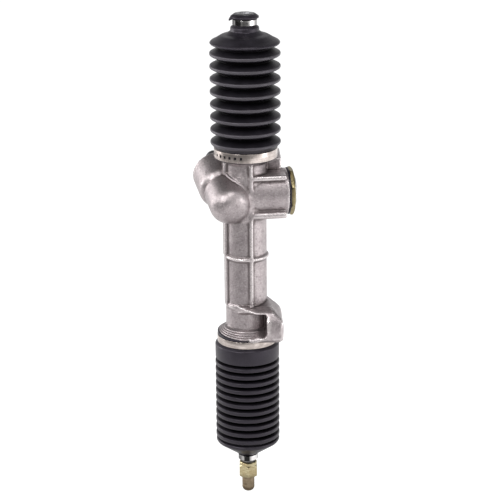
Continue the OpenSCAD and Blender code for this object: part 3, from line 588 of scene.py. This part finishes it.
def ear_share(points):
    """How strongly each point belongs to the lower ear's swollen lug, from 0 to 1."""
    x, y, z = (points / MM).T
    share = fade(x, 14, 18) * fade(y, -8, -12)
    share *= fade(z, 149, 151) * fade(z, 186, 182)
    flat_face = x * math.cos(MOUNT_TURN) + y * math.sin(MOUNT_TURN) > MOUNT_FACE
    return np.where(flat_face, 0, share)[:, None]


def web_share(points):
    """How strongly each point belongs to the front edges of the ear's two webs."""
    x, y, z = (points / MM).T
    low = fade(z, 149, 151) * fade(z, 162, 160)
    high = fade(z, 172, 175) * fade(z, 190, 187)
    return (np.maximum(low, high) * fade(y, -18, -22) * fade(x, 20, 17))[:, None]


def dome_share(points):
    """How strongly each point belongs to the round end of the pinion tower."""
    off = points / MM - np.array(TOWER_FOOT)
    along = off @ np.array(TOWER_AXIS)
    away = np.linalg.norm(off - along[:, None] * np.array(TOWER_AXIS), axis=1)
    return (fade(along, -3, -7) * fade(away, TOWER_R + 2, TOWER_R + 0.5)
            * fade(points[:, 1] / MM, -17, -21))[:, None]


def draw_lower_ear(points):
    """Small moves of the lower ear's edges to where the photograph shows them."""
    x, y, z = (points / MM).T.copy()
    # The upper web's front edge goes up, and the lower web's goes down, most of all at its left.
    z += 2.7 * (fade(y, -19, -27) * fade(z, 168, 176) * fade(x, 26, 20) * fade(z, 190, 184))
    z -= 2.3 * fade(y, -22, -28) * fade(z, 158.5, 156) * fade(z, 149, 152)
    z -= 3.0 * fade(x, 7, 2) * fade(y, -14, -20) * fade(z, 159.5, 157.5) * fade(z, 150, 152)
    # The lug's front edge bows to the right between them.
    bow = fade(y, -20, -30) * fade(x, 14, 17) * fade(x, 30, 22)
    x += 2.2 * bow * np.clip(1 - ((z - 166) / 11) ** 2, 0, 1)
    return np.stack((x, y, z), 1) * MM


# %% [markdown]
# The casting's foot comes down over the lower bellows in four fine steps. At the left they are
# narrow and lie close together, and towards the front they fan out and drop. That is one
# profile whose numbers change with the angle, so it is swept round Z and blended between a
# left and a front form.

# %% Stepped foot
FOOT_STEPS = 4


def front_share(degrees):
    """0 at the left of the lower ear and 1 at its front and right, by the angle round Z."""
    return float(np.interp(degrees, (165, 250, 345, 375), (0, 1, 1, 0)))


def stepped_foot():
    """Ridges at the foot of the casting, which fan out from the left and drop to the front."""
    rings = []
    for degrees in np.arange(150, 346, 2.5):
        share = front_share(degrees)
        profile = [(18.5, 152.0)]
        for step in range(FOOT_STEPS):
            r = (1 - share) * (26.4 - 1.4 * step) + share * (27.9 - 1.8 * step)
            low = (1 - share) * (153.2 + 0.9 * step) + share * (150.4 + 1.7 * step)
            high = low + (1 - share) * 0.9 + share * 1.6
            profile += [(r, low), (r, high - 0.3), (r - 0.35, high)]
        top = profile[-1][1]
        profile += [(20.2, top + 0.2), (19.2, top + 1.8), (18.5, top + 1.8)]
        rings.append(at_angle(profile, math.radians(degrees)))
    return skinned("stepped_foot", rings)


# %% [markdown]
# Now the skin itself. Its edges get a painted highlight, over a little real wear, and its corners a
# painted shade, and a material can't know where these are. But a point that stands out of its
# well-relaxed surroundings lies on an edge, and one that lies back is in a corner. Both are stored
# on the points for the material.
# Last, a Decimate modifier takes out points where the skin is flat.

# %% Cast skin of the housing
HOUSING_VOXEL = 0.75 * MM
KEPT_SHARE = 0.58
RELAX_SHARE = 0.5
RELAX_ROUNDS = 3
EAR_ROUNDS = 14
DOME_ROUNDS = 40
WEB_ROUNDS = 18
EDGE_REACH = 12
EDGE_DEPTH = 0.12 * MM


def cast_skin(node):
    solid = new_object("solid", frame["nodes"][node].data.copy())
    tidy_normals(solid, 1e-6)
    skin = joined(node + "_casting", solid, seam_bead(BEAD_UNDER))
    remesh = skin.modifiers.new("voxels", "REMESH")
    remesh.mode = "VOXEL"
    remesh.voxel_size = HOUSING_VOXEL
    baked(skin)
    points, edges = mesh_arrays(skin.data)
    points = relaxed(points, edges, RELAX_ROUNDS, RELAX_SHARE)
    points = relaxed(points, edges, EAR_ROUNDS, RELAX_SHARE * ear_share(points))
    points = relaxed(points, edges, DOME_ROUNDS, RELAX_SHARE * dome_share(points))
    points = draw_lower_ear(points)
    points = relaxed(points, edges, WEB_ROUNDS, RELAX_SHARE * web_share(points))
    skin.data.vertices.foreach_set("co", points.ravel())
    skin.data.update()
    print("points of the cast skin:", len(points))
    return skin


def mark_edges(skin):
    """Stores how much each point stands out of, or lies back in, its surroundings: the painted edge
    highlight and the painted corner shade.
    """
    points, edges = mesh_arrays(skin.data)
    normals = np.zeros(len(points) * 3)
    skin.data.vertices.foreach_get("normal", normals)
    off = points - relaxed(points, edges, EDGE_REACH, RELAX_SHARE)
    away = (off * normals.reshape(-1, 3)).sum(1) / EDGE_DEPTH
    away = relaxed(away[:, None], edges, 2, 0.7)[:, 0] * (1 - 0.25 * web_share(points)[:, 0])
    # Standing out gives the painted edge highlight, lying back the painted corner shade.
    for name, values in (("wear_and_highlight", away - 0.5), ("hollow", -away - 0.35)):
        layer = skin.data.attributes.new(name, "FLOAT", "POINT")
        layer.data.foreach_set("value", np.clip(values, 0, 1))
        print(name, "points:", int((values > 0).sum()))


housing = cast_skin("housing")
mark_edges(housing)
thin = housing.modifiers.new("thin_out", "DECIMATE")
thin.ratio = KEPT_SHARE
baked(housing)
housing = joined("housing_casting", housing, stepped_foot(), seam_bead(BEAD_OVER))
dress(housing, "housing", smooth=60)

# %% [markdown]
# A bellows is a turned shape: one wall, followed from lip to lip, spun round the axis. The profile
# is the whole art. It is written as a list of corners, and each corner has its own fillet: small
# ones make the thin sharp rims of the upper bellows, and large flat lands make the lower one's.

# %% Turned pieces
def rounded(corners, steps=4):
    """A closed profile whose corners (radius, height, fillet) are turned into arcs."""
    points = []
    count = len(corners)
    for index, (r, z, fillet) in enumerate(corners):
        here = Vector((r, z))
        before = Vector(corners[index - 1][:2]) - here
        after = Vector(corners[(index + 1) % count][:2]) - here
        if fillet <= 0:
            points.append((r, z))
            continue
        half = before.angle(after) / 2
        back = min(fillet / math.tan(half), before.length * 0.49, after.length * 0.49)
        start = here + before.normalized() * back
        end = here + after.normalized() * back
        for step in range(steps + 1):
            share = step / steps
            first = start.lerp(here, share)
            second = here.lerp(end, share)
            points.append(tuple(first.lerp(second, share)))
    return points


def lathe(name, corners, turns=144, steps=4):
    """A closed profile in millimetres spun round the Z axis."""
    profile = rounded(corners, steps)
    return skinned(name, [at_angle(profile, 2 * math.pi * k / turns) for k in range(turns)],
                   closed=True)


def fold_corners(start, pitch, count, shape):
    """One corner for each (share of the pitch, radius, fillet) of the shape, fold after fold."""
    return [(r, start + (fold + share) * pitch, fillet)
            for fold in range(count) for share, r, fillet in shape]


def thin_inside(corners, thickness):
    """The same wall one thickness nearer to the axis, in reverse order."""
    return [(r - thickness, z, fillet) for r, z, fillet in reversed(corners)]


def edges_mm(node):
    """A part's lower end, upper end and largest radius along X, in millimetres."""
    low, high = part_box(node)
    return low[2] / MM, high[2] / MM, high[0] / MM


def mark_folds(piece, low, high, root, rim, rim_highlight):
    """Stores how deep in its folds the rubber lies, for a painted shade, and where its rims get a
    painted highlight.
    """
    hollow, wear_and_highlight = [], []
    for vertex in piece.data.vertices:
        r, z = math.hypot(vertex.co.x, vertex.co.y) / MM, vertex.co.z / MM
        inside = low < z < high
        hollow.append(min(1, max(0, (rim - r) / (rim - root))) ** 1.2 if inside else 0)
        wear_and_highlight.append(rim_highlight(r, z) if inside else 0)
    for name, values in (("hollow", hollow), ("wear_and_highlight", wear_and_highlight)):
        piece.data.attributes.new(name, "FLOAT", "POINT").data.foreach_set("value", values)


RUBBER_WALL = 1.8
HOUSING_LOW, HOUSING_TOP, _ = edges_mm("housing")
print("housing from", round(HOUSING_LOW, 1), "to", round(HOUSING_TOP, 1), "mm")

# %% [markdown]
# The upper bellows has eight thin folds with sharp rims, a domed shoulder and a bulge below its
# neck, where the band sits. All of it is one profile. Its ends come from the CAD part and its
# folds from the photograph. Rubber follows the rack at one end and the housing at the other, so
# the piece is not ridden on either body.

# %% Upper bellows
UPPER_LIP, UPPER_TOP, UPPER_RIM = edges_mm("upper_bellows")
UPPER_ROOT = 23.6
UPPER_PITCH = 11.84
UPPER_START = 331.7
UPPER_FOLDS = 8
UPPER_NECK_LOW, UPPER_NECK_HIGH, _ = edges_mm("upper_neck_clamp")
BAND_LOW, BAND_HIGH, BAND_OUT = edges_mm("upper_band_clamp")
BAND_T = 0.9
TAIL_DEGREES = 190
TAIL_WIDTH = 0.16
TAIL_OUT, TAIL_DOWN = 2.2, 2.0


def upper_bellows():
    thin = [(0.0, UPPER_ROOT - 0.6, 0.7), (0.34, UPPER_RIM - 1.4, 1.6), (0.41, UPPER_RIM, 1.4),
            (0.59, UPPER_RIM, 1.4), (0.66, UPPER_RIM - 1.4, 1.4)]
    folds = fold_corners(UPPER_START, UPPER_PITCH, UPPER_FOLDS, thin)
    end = UPPER_START + UPPER_FOLDS * UPPER_PITCH
    shoulder = [(UPPER_ROOT, end, 0.7), (UPPER_RIM - 1.2, end + 3.0, 1.4),
                (UPPER_RIM - 0.1, end + 4.2, 1.0), (UPPER_RIM - 1.6, end + 5.8, 2.0),
                (UPPER_RIM - 5.2, end + 7.6, 4.0), (22.0, end + 11.0, 9.0),
                (17.6, UPPER_TOP - 18.5, 6.0)]
    bulge = [(13.3, UPPER_TOP - 15.6, 1.6), (13.2, UPPER_TOP - 12.2, 1.8),
             (10.5, UPPER_NECK_LOW - 0.5, 0.3), (10.5, UPPER_NECK_HIGH + 0.4, 0.3)]
    lip_cone = [(13.1, UPPER_NECK_HIGH + 1.1, 0.6), (13.0, UPPER_TOP - 2.2, 0.8),
                (10.0, UPPER_TOP, 0.8), (8.65, UPPER_TOP, 0.3), (8.65, UPPER_TOP - 15.6, 0)]
    lip_out = BAND_OUT - BAND_T - 0.05
    mouth = [(lip_out - 2.4, UPPER_LIP, 0.4), (lip_out, UPPER_LIP, 0.5),
             (lip_out, BAND_HIGH + 0.1, 0.1), (lip_out + 0.9, BAND_HIGH + 0.6, 0.3)]
    outside = [c for c in folds if c[1] > BAND_HIGH + 1.2]
    lining = [c for c in folds if c[1] > HOUSING_TOP + 2.5]
    inside = thin_inside(lining + shoulder, RUBBER_WALL)
    return lathe("upper_bellows_moulded", mouth + outside + shoulder + bulge + lip_cone + inside
                 + [(lip_out - 2.4, HOUSING_TOP + 0.4, 0)])


def neck_tail(piece):
    """Pulls the lip's outer edge out into a short tail at the left, as the photograph shows."""
    middle = math.radians(TAIL_DEGREES)
    for vertex in piece.data.vertices:
        x, y, z = vertex.co / MM
        if z < UPPER_NECK_HIGH + 0.6 or math.hypot(x, y) < 10:
            continue
        turn = (math.atan2(y, x) - middle + math.pi) % (2 * math.pi) - math.pi
        push = math.exp(-(turn / TAIL_WIDTH) ** 2)
        vertex.co.x += TAIL_OUT * MM * push * math.cos(middle)
        vertex.co.y += TAIL_OUT * MM * push * math.sin(middle)
        vertex.co.z -= TAIL_DOWN * MM * push * (1 if z < UPPER_TOP - 1 else 0.4)


upper = upper_bellows()
neck_tail(upper)
# The upper rims' outer edge gets a painted highlight.
mark_folds(upper, UPPER_START, UPPER_START + UPPER_FOLDS * UPPER_PITCH, UPPER_ROOT - 0.6,
           UPPER_RIM, lambda r, z: 0.7 if r > UPPER_RIM - 0.5 else 0)
dress(upper, "upper_bellows", smooth=60, blended=True)
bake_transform(upper)

# %% [markdown]
# The lower bellows is of a heavier kind: eleven folds with flat lands and narrow, deep grooves,
# and a plain cone down to the rod. At its top the casting's foot covers the lip at the front, so
# the lip is brought down there by the same share that the foot's steps use.

# %% Lower bellows
LOWER_NECK_Z, LOWER_LIP, LOWER_RIM = edges_mm("lower_bellows")
LOWER_ROOT = 23.8
LOWER_PITCH = 7.4
LOWER_START = LOWER_NECK_Z + 25.2
LOWER_FOLDS = 11
LOWER_BAND_Z, LOWER_BAND_TOP, LOWER_BAND_OUT = edges_mm("lower_band_clamp")
ROD_R = 6.85
LIP_DROP = 0.66


def lower_bellows():
    flat = [(0.0, LOWER_ROOT, 0.5), (0.16, LOWER_ROOT + 1.2, 0.5), (0.25, LOWER_RIM, 1.0),
            (0.75, LOWER_RIM, 1.0), (0.84, LOWER_ROOT + 1.2, 0.5)]
    folds = fold_corners(LOWER_START, LOWER_PITCH, LOWER_FOLDS, flat)
    top = LOWER_START + LOWER_PITCH * LOWER_FOLDS
    band_in = LOWER_BAND_OUT - BAND_T - 0.05
    cone = [(ROD_R, LOWER_NECK_Z, 0.3), (8.2, LOWER_NECK_Z, 0.4), (8.2, LOWER_NECK_Z + 6.3, 0.2),
            (10.2, LOWER_NECK_Z + 7.4, 0.6), (LOWER_RIM - 1.3, LOWER_START - 4.4, 1.8),
            (LOWER_RIM - 0.1, LOWER_START - 2.6, 1.0), (LOWER_RIM - 0.8, LOWER_START - 0.9, 0.8)]
    collar = [(LOWER_ROOT, top, 0.5), (LOWER_RIM - 0.2, top + 1.2, 1.1),
              (LOWER_RIM - 0.1, LOWER_BAND_Z - 2.4, 2.0), (band_in, LOWER_BAND_Z - 0.4, 0.3),
              (band_in, LOWER_BAND_TOP + 0.2, 0.1), (band_in + 0.7, LOWER_BAND_TOP + 0.8, 0.3),
              (band_in + 0.6, LOWER_LIP - 1.2, 0.8), (band_in - 1.2, LOWER_LIP, 0.6),
              (band_in - 2.7, LOWER_LIP, 0.3), (band_in - 2.7, HOUSING_LOW - 0.3, 0)]
    inside = thin_inside(folds[5:], RUBBER_WALL)
    return lathe("lower_bellows_moulded", cone + folds + collar + inside
                 + [(LOWER_RIM - 3.2, LOWER_START - 2.0, 1), (10.6, LOWER_NECK_Z + 10.5, 0),
                    (ROD_R, LOWER_NECK_Z + 8.5, 0)], 144, 3)


def lower_lip(piece):
    """Brings the upper lip down at the front, where the casting's foot covers it."""
    for vertex in piece.data.vertices:
        above = vertex.co.z / MM - LOWER_BAND_TOP - 0.2
        if above > 0:
            degrees = math.degrees(math.atan2(vertex.co.y, vertex.co.x)) % 360
            share = max(front_share(degrees), front_share(degrees + 360))
            vertex.co.z -= LIP_DROP * above * share * MM


lower = lower_bellows()
lower_lip(lower)
# A painted highlight along the lower edge of each land.
mark_folds(lower, LOWER_START, LOWER_START + LOWER_FOLDS * LOWER_PITCH, LOWER_ROOT + 1.2, LOWER_RIM,
           lambda r, z: 0.5 if r > LOWER_RIM - 0.6 and (z - LOWER_START) % LOWER_PITCH < 2.2 else 0)
dress(lower, "lower_bellows", smooth=60, blended=True)
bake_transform(lower)

# %% [markdown]
# What repeats is made by Geometry Nodes, which is a recipe rather than a mesh: change one number
# and all the slots or threads follow. Each tree takes its sizes as named inputs. A modifier knows
# an input by its identifier and not by its name, so one helper looks the identifiers up. The
# result is then turned into plain mesh, because instances don't survive an export.

# %% Geometry Nodes helpers
def recipe(name, inputs):
    """A geometry tree with named inputs; gives the tree and the sockets of its inputs."""
    tree = bpy.data.node_groups.new(name, "GeometryNodeTree")
    for label, kind in inputs.items():
        tree.interface.new_socket(label, in_out="INPUT", socket_type=kind)
    tree.interface.new_socket("Geometry", in_out="OUTPUT", socket_type="NodeSocketGeometry")
    entry = tree.nodes.new("NodeGroupInput")
    return tree, {label: entry.outputs[label] for label in inputs}


def end_recipe(tree, geometry, material):
    """Closes a tree with Realize Instances and Set Material."""
    real = add_node(tree, "GeometryNodeRealizeInstances", _0=geometry)
    coloured = add_node(tree, "GeometryNodeSetMaterial", _0=real.outputs[0], Material=material)
    last = tree.nodes.new("NodeGroupOutput")
    tree.links.new(coloured.outputs[0], last.inputs[0])


def cooked(name, tree, values):
    """A plain mesh object made by a tree with these values."""
    piece = new_object(name, bpy.data.meshes.new(name))
    modifier = piece.modifiers.new("recipe", "NODES")
    modifier.node_group = tree
    for item in tree.interface.items_tree:
        if item.in_out == "INPUT" and item.name in values:
            modifier[item.identifier] = values[item.name]
    return baked(piece)


def ring_of(tree, radius, wide, high, corner, middle, sides=128):
    """A flat band bent into a ring, with rounded edges, at a height on Z."""
    circle = add_node(tree, "GeometryNodeCurvePrimitiveCircle", Radius=radius)
    circle.inputs["Resolution"].default_value = sides
    section = add_node(tree, "GeometryNodeCurvePrimitiveQuadrilateral", Width=wide, Height=high)
    soft = add_node(tree, "GeometryNodeFilletCurve", {"mode": "POLY"}, _0=section.outputs[0],
                    Radius=corner)
    soft.inputs["Count"].default_value = 3
    swept = add_node(tree, "GeometryNodeCurveToMesh", _0=circle.outputs[0], _1=soft.outputs[0])
    shift = add_node(tree, "ShaderNodeCombineXYZ", Z=middle)
    return add_node(tree, "GeometryNodeSetPosition", _0=swept.outputs[0],
                    Offset=shift.outputs[0]).outputs[0]


# %% [markdown]
# The upper band is a strip of spring steel with a row of punched slots, which its screw would
# drive. The slots are placed by one angle and one step, so the row follows the band whatever its
# radius is. The lower band is the same strip with no slot: one recipe makes both.

# %% The perforated band and its plain neighbour
FLOAT, WHOLE, FINISH_INPUT = "NodeSocketFloat", "NodeSocketInt", "NodeSocketMaterial"
FIRST_SLOT = math.radians(253.3)
SLOT_STEP = math.radians(-10.8)
SLOT_WIDTH, SLOT_HEIGHT = 2.3, 2.6
SLOT_COUNT = 12
BAND_CORNER = 0.25


def band_recipe():
    """A band round Z; a row of slots is cut out of it when Slots is above zero."""
    tree, given = recipe("perforated_band", {
        "Radius": FLOAT, "Thickness": FLOAT, "Height": FLOAT, "Middle": FLOAT, "Corner": FLOAT,
        "Slots": WHOLE, "First slot": FLOAT, "Slot step": FLOAT, "Slot width": FLOAT,
        "Slot height": FLOAT, "Finish": FINISH_INPUT})
    band = ring_of(tree, given["Radius"], given["Thickness"], given["Height"], given["Corner"],
                   given["Middle"])
    row = add_node(tree, "GeometryNodePoints", Count=given["Slots"])
    angle = maths(tree, "ADD", given["First slot"],
                  maths(tree, "MULTIPLY", add_node(tree, "GeometryNodeInputIndex").outputs[0],
                        given["Slot step"]))
    spot = add_node(tree, "ShaderNodeCombineXYZ",
                    X=maths(tree, "MULTIPLY", given["Radius"], maths(tree, "COSINE", angle, 0.0)),
                    Y=maths(tree, "MULTIPLY", given["Radius"], maths(tree, "SINE", angle, 0.0)),
                    Z=given["Middle"])
    placed = add_node(tree, "GeometryNodeSetPosition", _0=row.outputs[0], Position=spot.outputs[0])
    size = add_node(tree, "ShaderNodeCombineXYZ", X=0.006, Y=given["Slot width"],
                    Z=given["Slot height"])
    cutter = add_node(tree, "GeometryNodeMeshCube", Size=size.outputs[0])
    turn = add_node(tree, "ShaderNodeCombineXYZ", Z=angle)
    cutters = add_node(tree, "GeometryNodeInstanceOnPoints", Points=placed.outputs[0],
                       Instance=cutter.outputs[0], Rotation=turn.outputs[0])
    loose = add_node(tree, "GeometryNodeRealizeInstances", _0=cutters.outputs[0])
    cut = add_node(tree, "GeometryNodeMeshBoolean", {"operation": "DIFFERENCE"}, _0=band,
                   _1=loose.outputs[0])
    end_recipe(tree, cut.outputs[0], given["Finish"])
    return tree


def make_band(node, tree, slots=0):
    low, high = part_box(node)
    values = {
        "Radius": high[0] - BAND_T * MM / 2, "Thickness": BAND_T * MM, "Height": high[2] - low[2],
        "Middle": (low[2] + high[2]) / 2, "Corner": BAND_CORNER * MM, "Slots": slots,
        "First slot": FIRST_SLOT, "Slot step": SLOT_STEP, "Slot width": SLOT_WIDTH * MM,
        "Slot height": SLOT_HEIGHT * MM, "Finish": FINISH[SLOT_OF[node]]}
    return dress(cooked(node + "_ring", tree, values), node, smooth=30)


BAND_RECIPE = band_recipe()
make_band("upper_band_clamp", BAND_RECIPE, SLOT_COUNT)
make_band("lower_band_clamp", BAND_RECIPE)

# %% [markdown]
# The stud ends in a round tip, and its thread is an M12 of fine pitch that shows only faintly. A
# thread cut with booleans is slow and often breaks. A thin ridge wound up a smooth shank looks
# the same from here, and its height, pitch and number of turns are inputs of the recipe.

# %% Thread of the tie-rod stud
STUD_R = 6.0
STUD_TIP, STUD_END, _ = edges_mm("rack_stud")
THREAD_PITCH = 1.25
THREAD_DEPTH = 0.14
TIP_R = 4.6


def thread_recipe():
    """A ridge that winds up the Z axis."""
    tree, given = recipe("thread", {
        "Radius": FLOAT, "Depth": FLOAT, "Pitch": FLOAT, "Turns": FLOAT, "Foot": FLOAT,
        "Finish": FINISH_INPUT})
    tall = maths(tree, "MULTIPLY", given["Pitch"], given["Turns"])
    helix = add_node(tree, "GeometryNodeCurveSpiral", Rotations=given["Turns"], Height=tall)
    helix.inputs["Resolution"].default_value = 48
    for label in ("Start Radius", "End Radius"):
        tree.links.new(given["Radius"], helix.inputs[label])
    ridge = add_node(tree, "GeometryNodeCurvePrimitiveCircle", Radius=given["Depth"])
    ridge.inputs["Resolution"].default_value = 6
    wound = add_node(tree, "GeometryNodeCurveToMesh", _0=helix.outputs[0], _1=ridge.outputs[0])
    wound.inputs["Fill Caps"].default_value = True
    shift = add_node(tree, "ShaderNodeCombineXYZ", Z=given["Foot"])
    lifted = add_node(tree, "GeometryNodeSetPosition", _0=wound.outputs[0], Offset=shift.outputs[0])
    end_recipe(tree, lifted.outputs[0], given["Finish"])
    return tree


def tie_rod_stud():
    core = STUD_R - THREAD_DEPTH
    arc = [(STUD_R - TIP_R + TIP_R * math.cos(a), STUD_TIP + TIP_R + TIP_R * math.sin(a), 0)
           for a in (math.radians(-90 + 9 * k) for k in range(11))]
    shank = lathe("shank", arc + [
        (STUD_R, STUD_TIP + 5.2, 0.2), (core, STUD_TIP + 5.8, 0.2), (core, 0.6, 0.2),
        (core, STUD_END, 0), (0.001, STUD_END, 0), (0.001, STUD_TIP, 0)], 96)
    turns = (0.3 - (STUD_TIP + 6.2)) / THREAD_PITCH
    ridge = cooked("ridge", thread_recipe(), {
        "Radius": core * MM, "Depth": THREAD_DEPTH * MM,
        "Pitch": THREAD_PITCH * MM, "Turns": turns, "Foot": (STUD_TIP + 6.2) * MM,
        "Finish": FINISH[SLOT_OF["rack_stud"]]})
    return dress(joined("tie_rod_stud", shank, ridge), "rack_stud", smooth=50)


tie_rod_stud()

# %% [markdown]
# Small sheet-metal and turned parts have the right form already, but a real edge is never perfectly
# sharp: it catches a thread of light. A small bevel on a copy of each visible part gives that.

# %% Small parts with rounded edges
FLAT_DEGREES = 0.4
SHARP_DEGREES = 30
TAG_DEGREES = 105


def soft_edged(node, width_mm, segments=2, collar=None):
    """A copy of a CAD part with a small round on each sharp edge, and a turned collar if given."""
    piece = new_object(node + "_rounded", frame["nodes"][node].data.copy())
    work = bmesh.new()
    work.from_mesh(piece.data)
    bmesh.ops.remove_doubles(work, verts=work.verts, dist=1e-6)
    bmesh.ops.dissolve_limit(work, angle_limit=math.radians(FLAT_DEGREES), verts=work.verts,
                             edges=work.edges)
    work.to_mesh(piece.data)
    work.free()
    bevel = piece.modifiers.new("edge", "BEVEL")
    bevel.width = width_mm * MM
    bevel.segments = segments
    bevel.limit_method = "ANGLE"
    bevel.angle_limit = math.radians(SHARP_DEGREES)
    baked(piece)
    if collar:
        piece = joined(piece.name, piece, collar)
    return dress(piece, node)


def neck_band(node, inner, outer):
    """A spring band with rolled edges, in place of a plain ring with its end tag."""
    low, high, _ = edges_mm(node)
    middle = (low + high) / 2
    ring = lathe(node + "_rolled", [
        (inner, low, 0.2), (outer, low, 0.45), (outer - 0.12, low + 1.3, 0.6),
        (outer - 0.12, high - 1.3, 0.6), (outer, high, 0.45), (inner, high, 0.2)], 96)
    tag = bmesh.new()
    place = (Matrix.Rotation(math.radians(TAG_DEGREES), 4, "Z")
             @ Matrix.Translation(Vector((outer + 0.6, 0, middle)) * MM)
             @ Matrix.Diagonal((2.4 * MM, 3.0 * MM, 3.0 * MM, 1)))
    bmesh.ops.create_cube(tag, size=1.0, matrix=place)
    bmesh.ops.bevel(tag, geom=tag.edges, offset=0.5 * MM, segments=2, affect="EDGES")
    mesh = bpy.data.meshes.new("tag")
    tag.to_mesh(mesh)
    tag.free()
    return dress(joined(node + "_spring", ring, new_object("tag", mesh)), node, smooth=35)


neck_band("upper_neck_clamp", 10.55, 11.45)
neck_band("lower_neck_clamp", 8.25, 9.55)
soft_edged("stud_locknut", 0.3, collar=lathe("collar", [
    (6.9, 12.0, 0.2), (8.5, 12.0, 0.2), (8.5, 14.6, 0.5), (7.9, 15.3, 0.3), (6.9, 15.3, 0.3)], 64))
for node_name in ("yoke_ring_nut", "yoke_plug", "yoke_seal", "pinion_cover", "upper_clamp_bridge"):
    soft_edged(node_name, 0.3)
soft_edged("upper_clamp_screw", 0.2)
soft_edged("lower_clamp_ear", 0.2)
soft_edged("rack_bar", 0.2, segments=1)

# %% [markdown]
# The photograph looks as if it was taken in a bright white tent, with a dark room showing through
# its openings. Bare metal lives from that contrast: each turned face shows a bright side and a
# dark middle. So the sky and the floor that reflections see are white, with soft dark patches
# above and to the front and left. The camera itself sees plain white, and the lamps and the dim
# sky do the lighting.

# %% Floor
DARK_FLOOR = Vector((-0.75, -0.66, 0)).normalized()
BRIGHT_FLOOR = Vector((0.92, -0.38, 0)).normalized()
FLOOR_REACH = 9
WHITE = rgba((1, 1, 1))


def light_path(tree, *kinds):
    """1 for the named kinds of ray, and 0 for the others."""
    path = add_node(tree, "ShaderNodeLightPath")
    total = path.outputs[kinds[0]]
    for kind in kinds[1:]:
        total = maths(tree, "MAXIMUM", total, path.outputs[kind])
    return total


def floor_material():
    """Paper that glows white to the camera and, in patches, to reflections, and takes shadows.
    Reflections also see a painted pool of light at the right and a painted shadow under the object.
    """
    material, tree, shader = new_material("floor")
    tree.nodes.remove(shader)
    paper = add_node(tree, "ShaderNodeBsdfDiffuse", Color=rgba((0.3, 0.3, 0.3)))
    place = object_place(tree)
    # Reflections see the floor dark to the front and left, and a painted pool of light at the
    # right.
    far = maths(tree, "MULTIPLY", remap(tree, dot(tree, place, DARK_FLOOR), 0.42, 0.66, 1.0, 0.08),
                remap(tree, dot(tree, place, BRIGHT_FLOOR), 0.1, 0.5, 1.0, 1.6))
    # Painted shadow on the floor under the object, seen only in reflections.
    under = remap(tree, length_of(tree, place), 0.028, 0.045, 0.2, 1.0)
    mirrored = maths(tree, "MULTIPLY", 0.92, maths(tree, "MULTIPLY", far, under))
    direct = light_path(tree, "Is Camera Ray", "Is Transmission Ray")
    strength = maths(tree, "ADD", direct, maths(
        tree, "MULTIPLY", mirrored, maths(tree, "SUBTRACT", 1.0, direct)))
    glow = add_node(tree, "ShaderNodeEmission", Color=WHITE, Strength=strength)
    lit = add_node(tree, "ShaderNodeAddShader", _0=paper.outputs[0], _1=glow.outputs[0])
    plain = add_node(tree, "ShaderNodeBsdfDiffuse", Color=rgba((0.8, 0.8, 0.8)))
    seen = light_path(tree, "Is Camera Ray", "Is Glossy Ray", "Is Transmission Ray")
    both = add_node(tree, "ShaderNodeMixShader", _0=seen, _1=plain.outputs[0], _2=lit.outputs[0])
    tree.links.new(both.outputs[0], tree.nodes["Material Output"].inputs["Surface"])
    return material


corners = [(x * FLOOR_REACH, y * FLOOR_REACH, 0) for x, y in ((-1, -1), (1, -1), (1, 1), (-1, 1))]
floor = mesh_object("floor", corners, [(0, 1, 2, 3)])
floor.data.transform(Matrix.Translation((0, 0, cad_box[0][2])))
floor.data.materials.append(floor_material())
print("floor at", round(cad_box[0][2] / MM, 1), "mm")

# %% Sky and lamps
DARK_TOP = Vector((0, 0.25, 0.97)).normalized()
DARK_DOOR = Vector((-0.68, -0.72, 0.1)).normalized()


def sky(strength):
    """White to the camera, white with two dark patches to reflections, and dim to other rays."""
    world = bpy.data.worlds.new("sky")
    world.use_nodes = True
    tree = world.node_tree
    tree.nodes.clear()
    way = add_node(tree, "ShaderNodeTexCoord").outputs["Generated"]
    tent = maths(tree, "MINIMUM", remap(tree, dot(tree, way, DARK_TOP), 0.2, 0.9, 1.0, 0.08),
                 remap(tree, dot(tree, way, DARK_DOOR), 0.6, 0.93, 1.0, 0.08))
    dim, mirror, bright = (add_node(tree, "ShaderNodeBackground", Color=WHITE, Strength=value)
                           for value in (strength, tent, 1.0))
    shiny = add_node(tree, "ShaderNodeMixShader", _0=light_path(tree, "Is Glossy Ray"),
                     _1=dim.outputs[0], _2=mirror.outputs[0])
    seen = light_path(tree, "Is Camera Ray", "Is Transmission Ray")
    both = add_node(tree, "ShaderNodeMixShader", _0=seen, _1=shiny.outputs[0], _2=bright.outputs[0])
    add_node(tree, "ShaderNodeOutputWorld", Surface=both.outputs[0])
    bpy.context.scene.world = world


def lamp(name, place, size, watts, aim=(0, 0, 0.28)):
    data = bpy.data.lights.new(name, "AREA")
    data.shape = "RECTANGLE"
    data.size, data.size_y = size
    data.energy = watts
    light = bpy.data.objects.new(name, data)
    bpy.context.scene.collection.objects.link(light)
    way = Vector(aim) - Vector(place)
    light.matrix_world = (Matrix.Translation(Vector(place))
                          @ way.to_track_quat("-Z", "Y").to_matrix().to_4x4())


sky(0.17)
lamp("right_softbox", (1.4, -0.75, 0.45), (0.6, 1.0), 6)
lamp("left_softbox", (-1.4, -0.3, 1.05), (0.7, 0.8), 6)
lamp("front_softbox", (-0.95, -1.1, 0.95), (0.5, 0.5), 11)
lamp("ceiling_softbox", (0.1, -0.9, 1.7), (0.8, 0.6), 8)
lamp("rear_softbox", (-1.3, 0.7, 0.5), (0.6, 1.0), 8)
lamp("back_softbox", (0.2, 1.3, 1.3), (0.9, 0.8), 1.0)
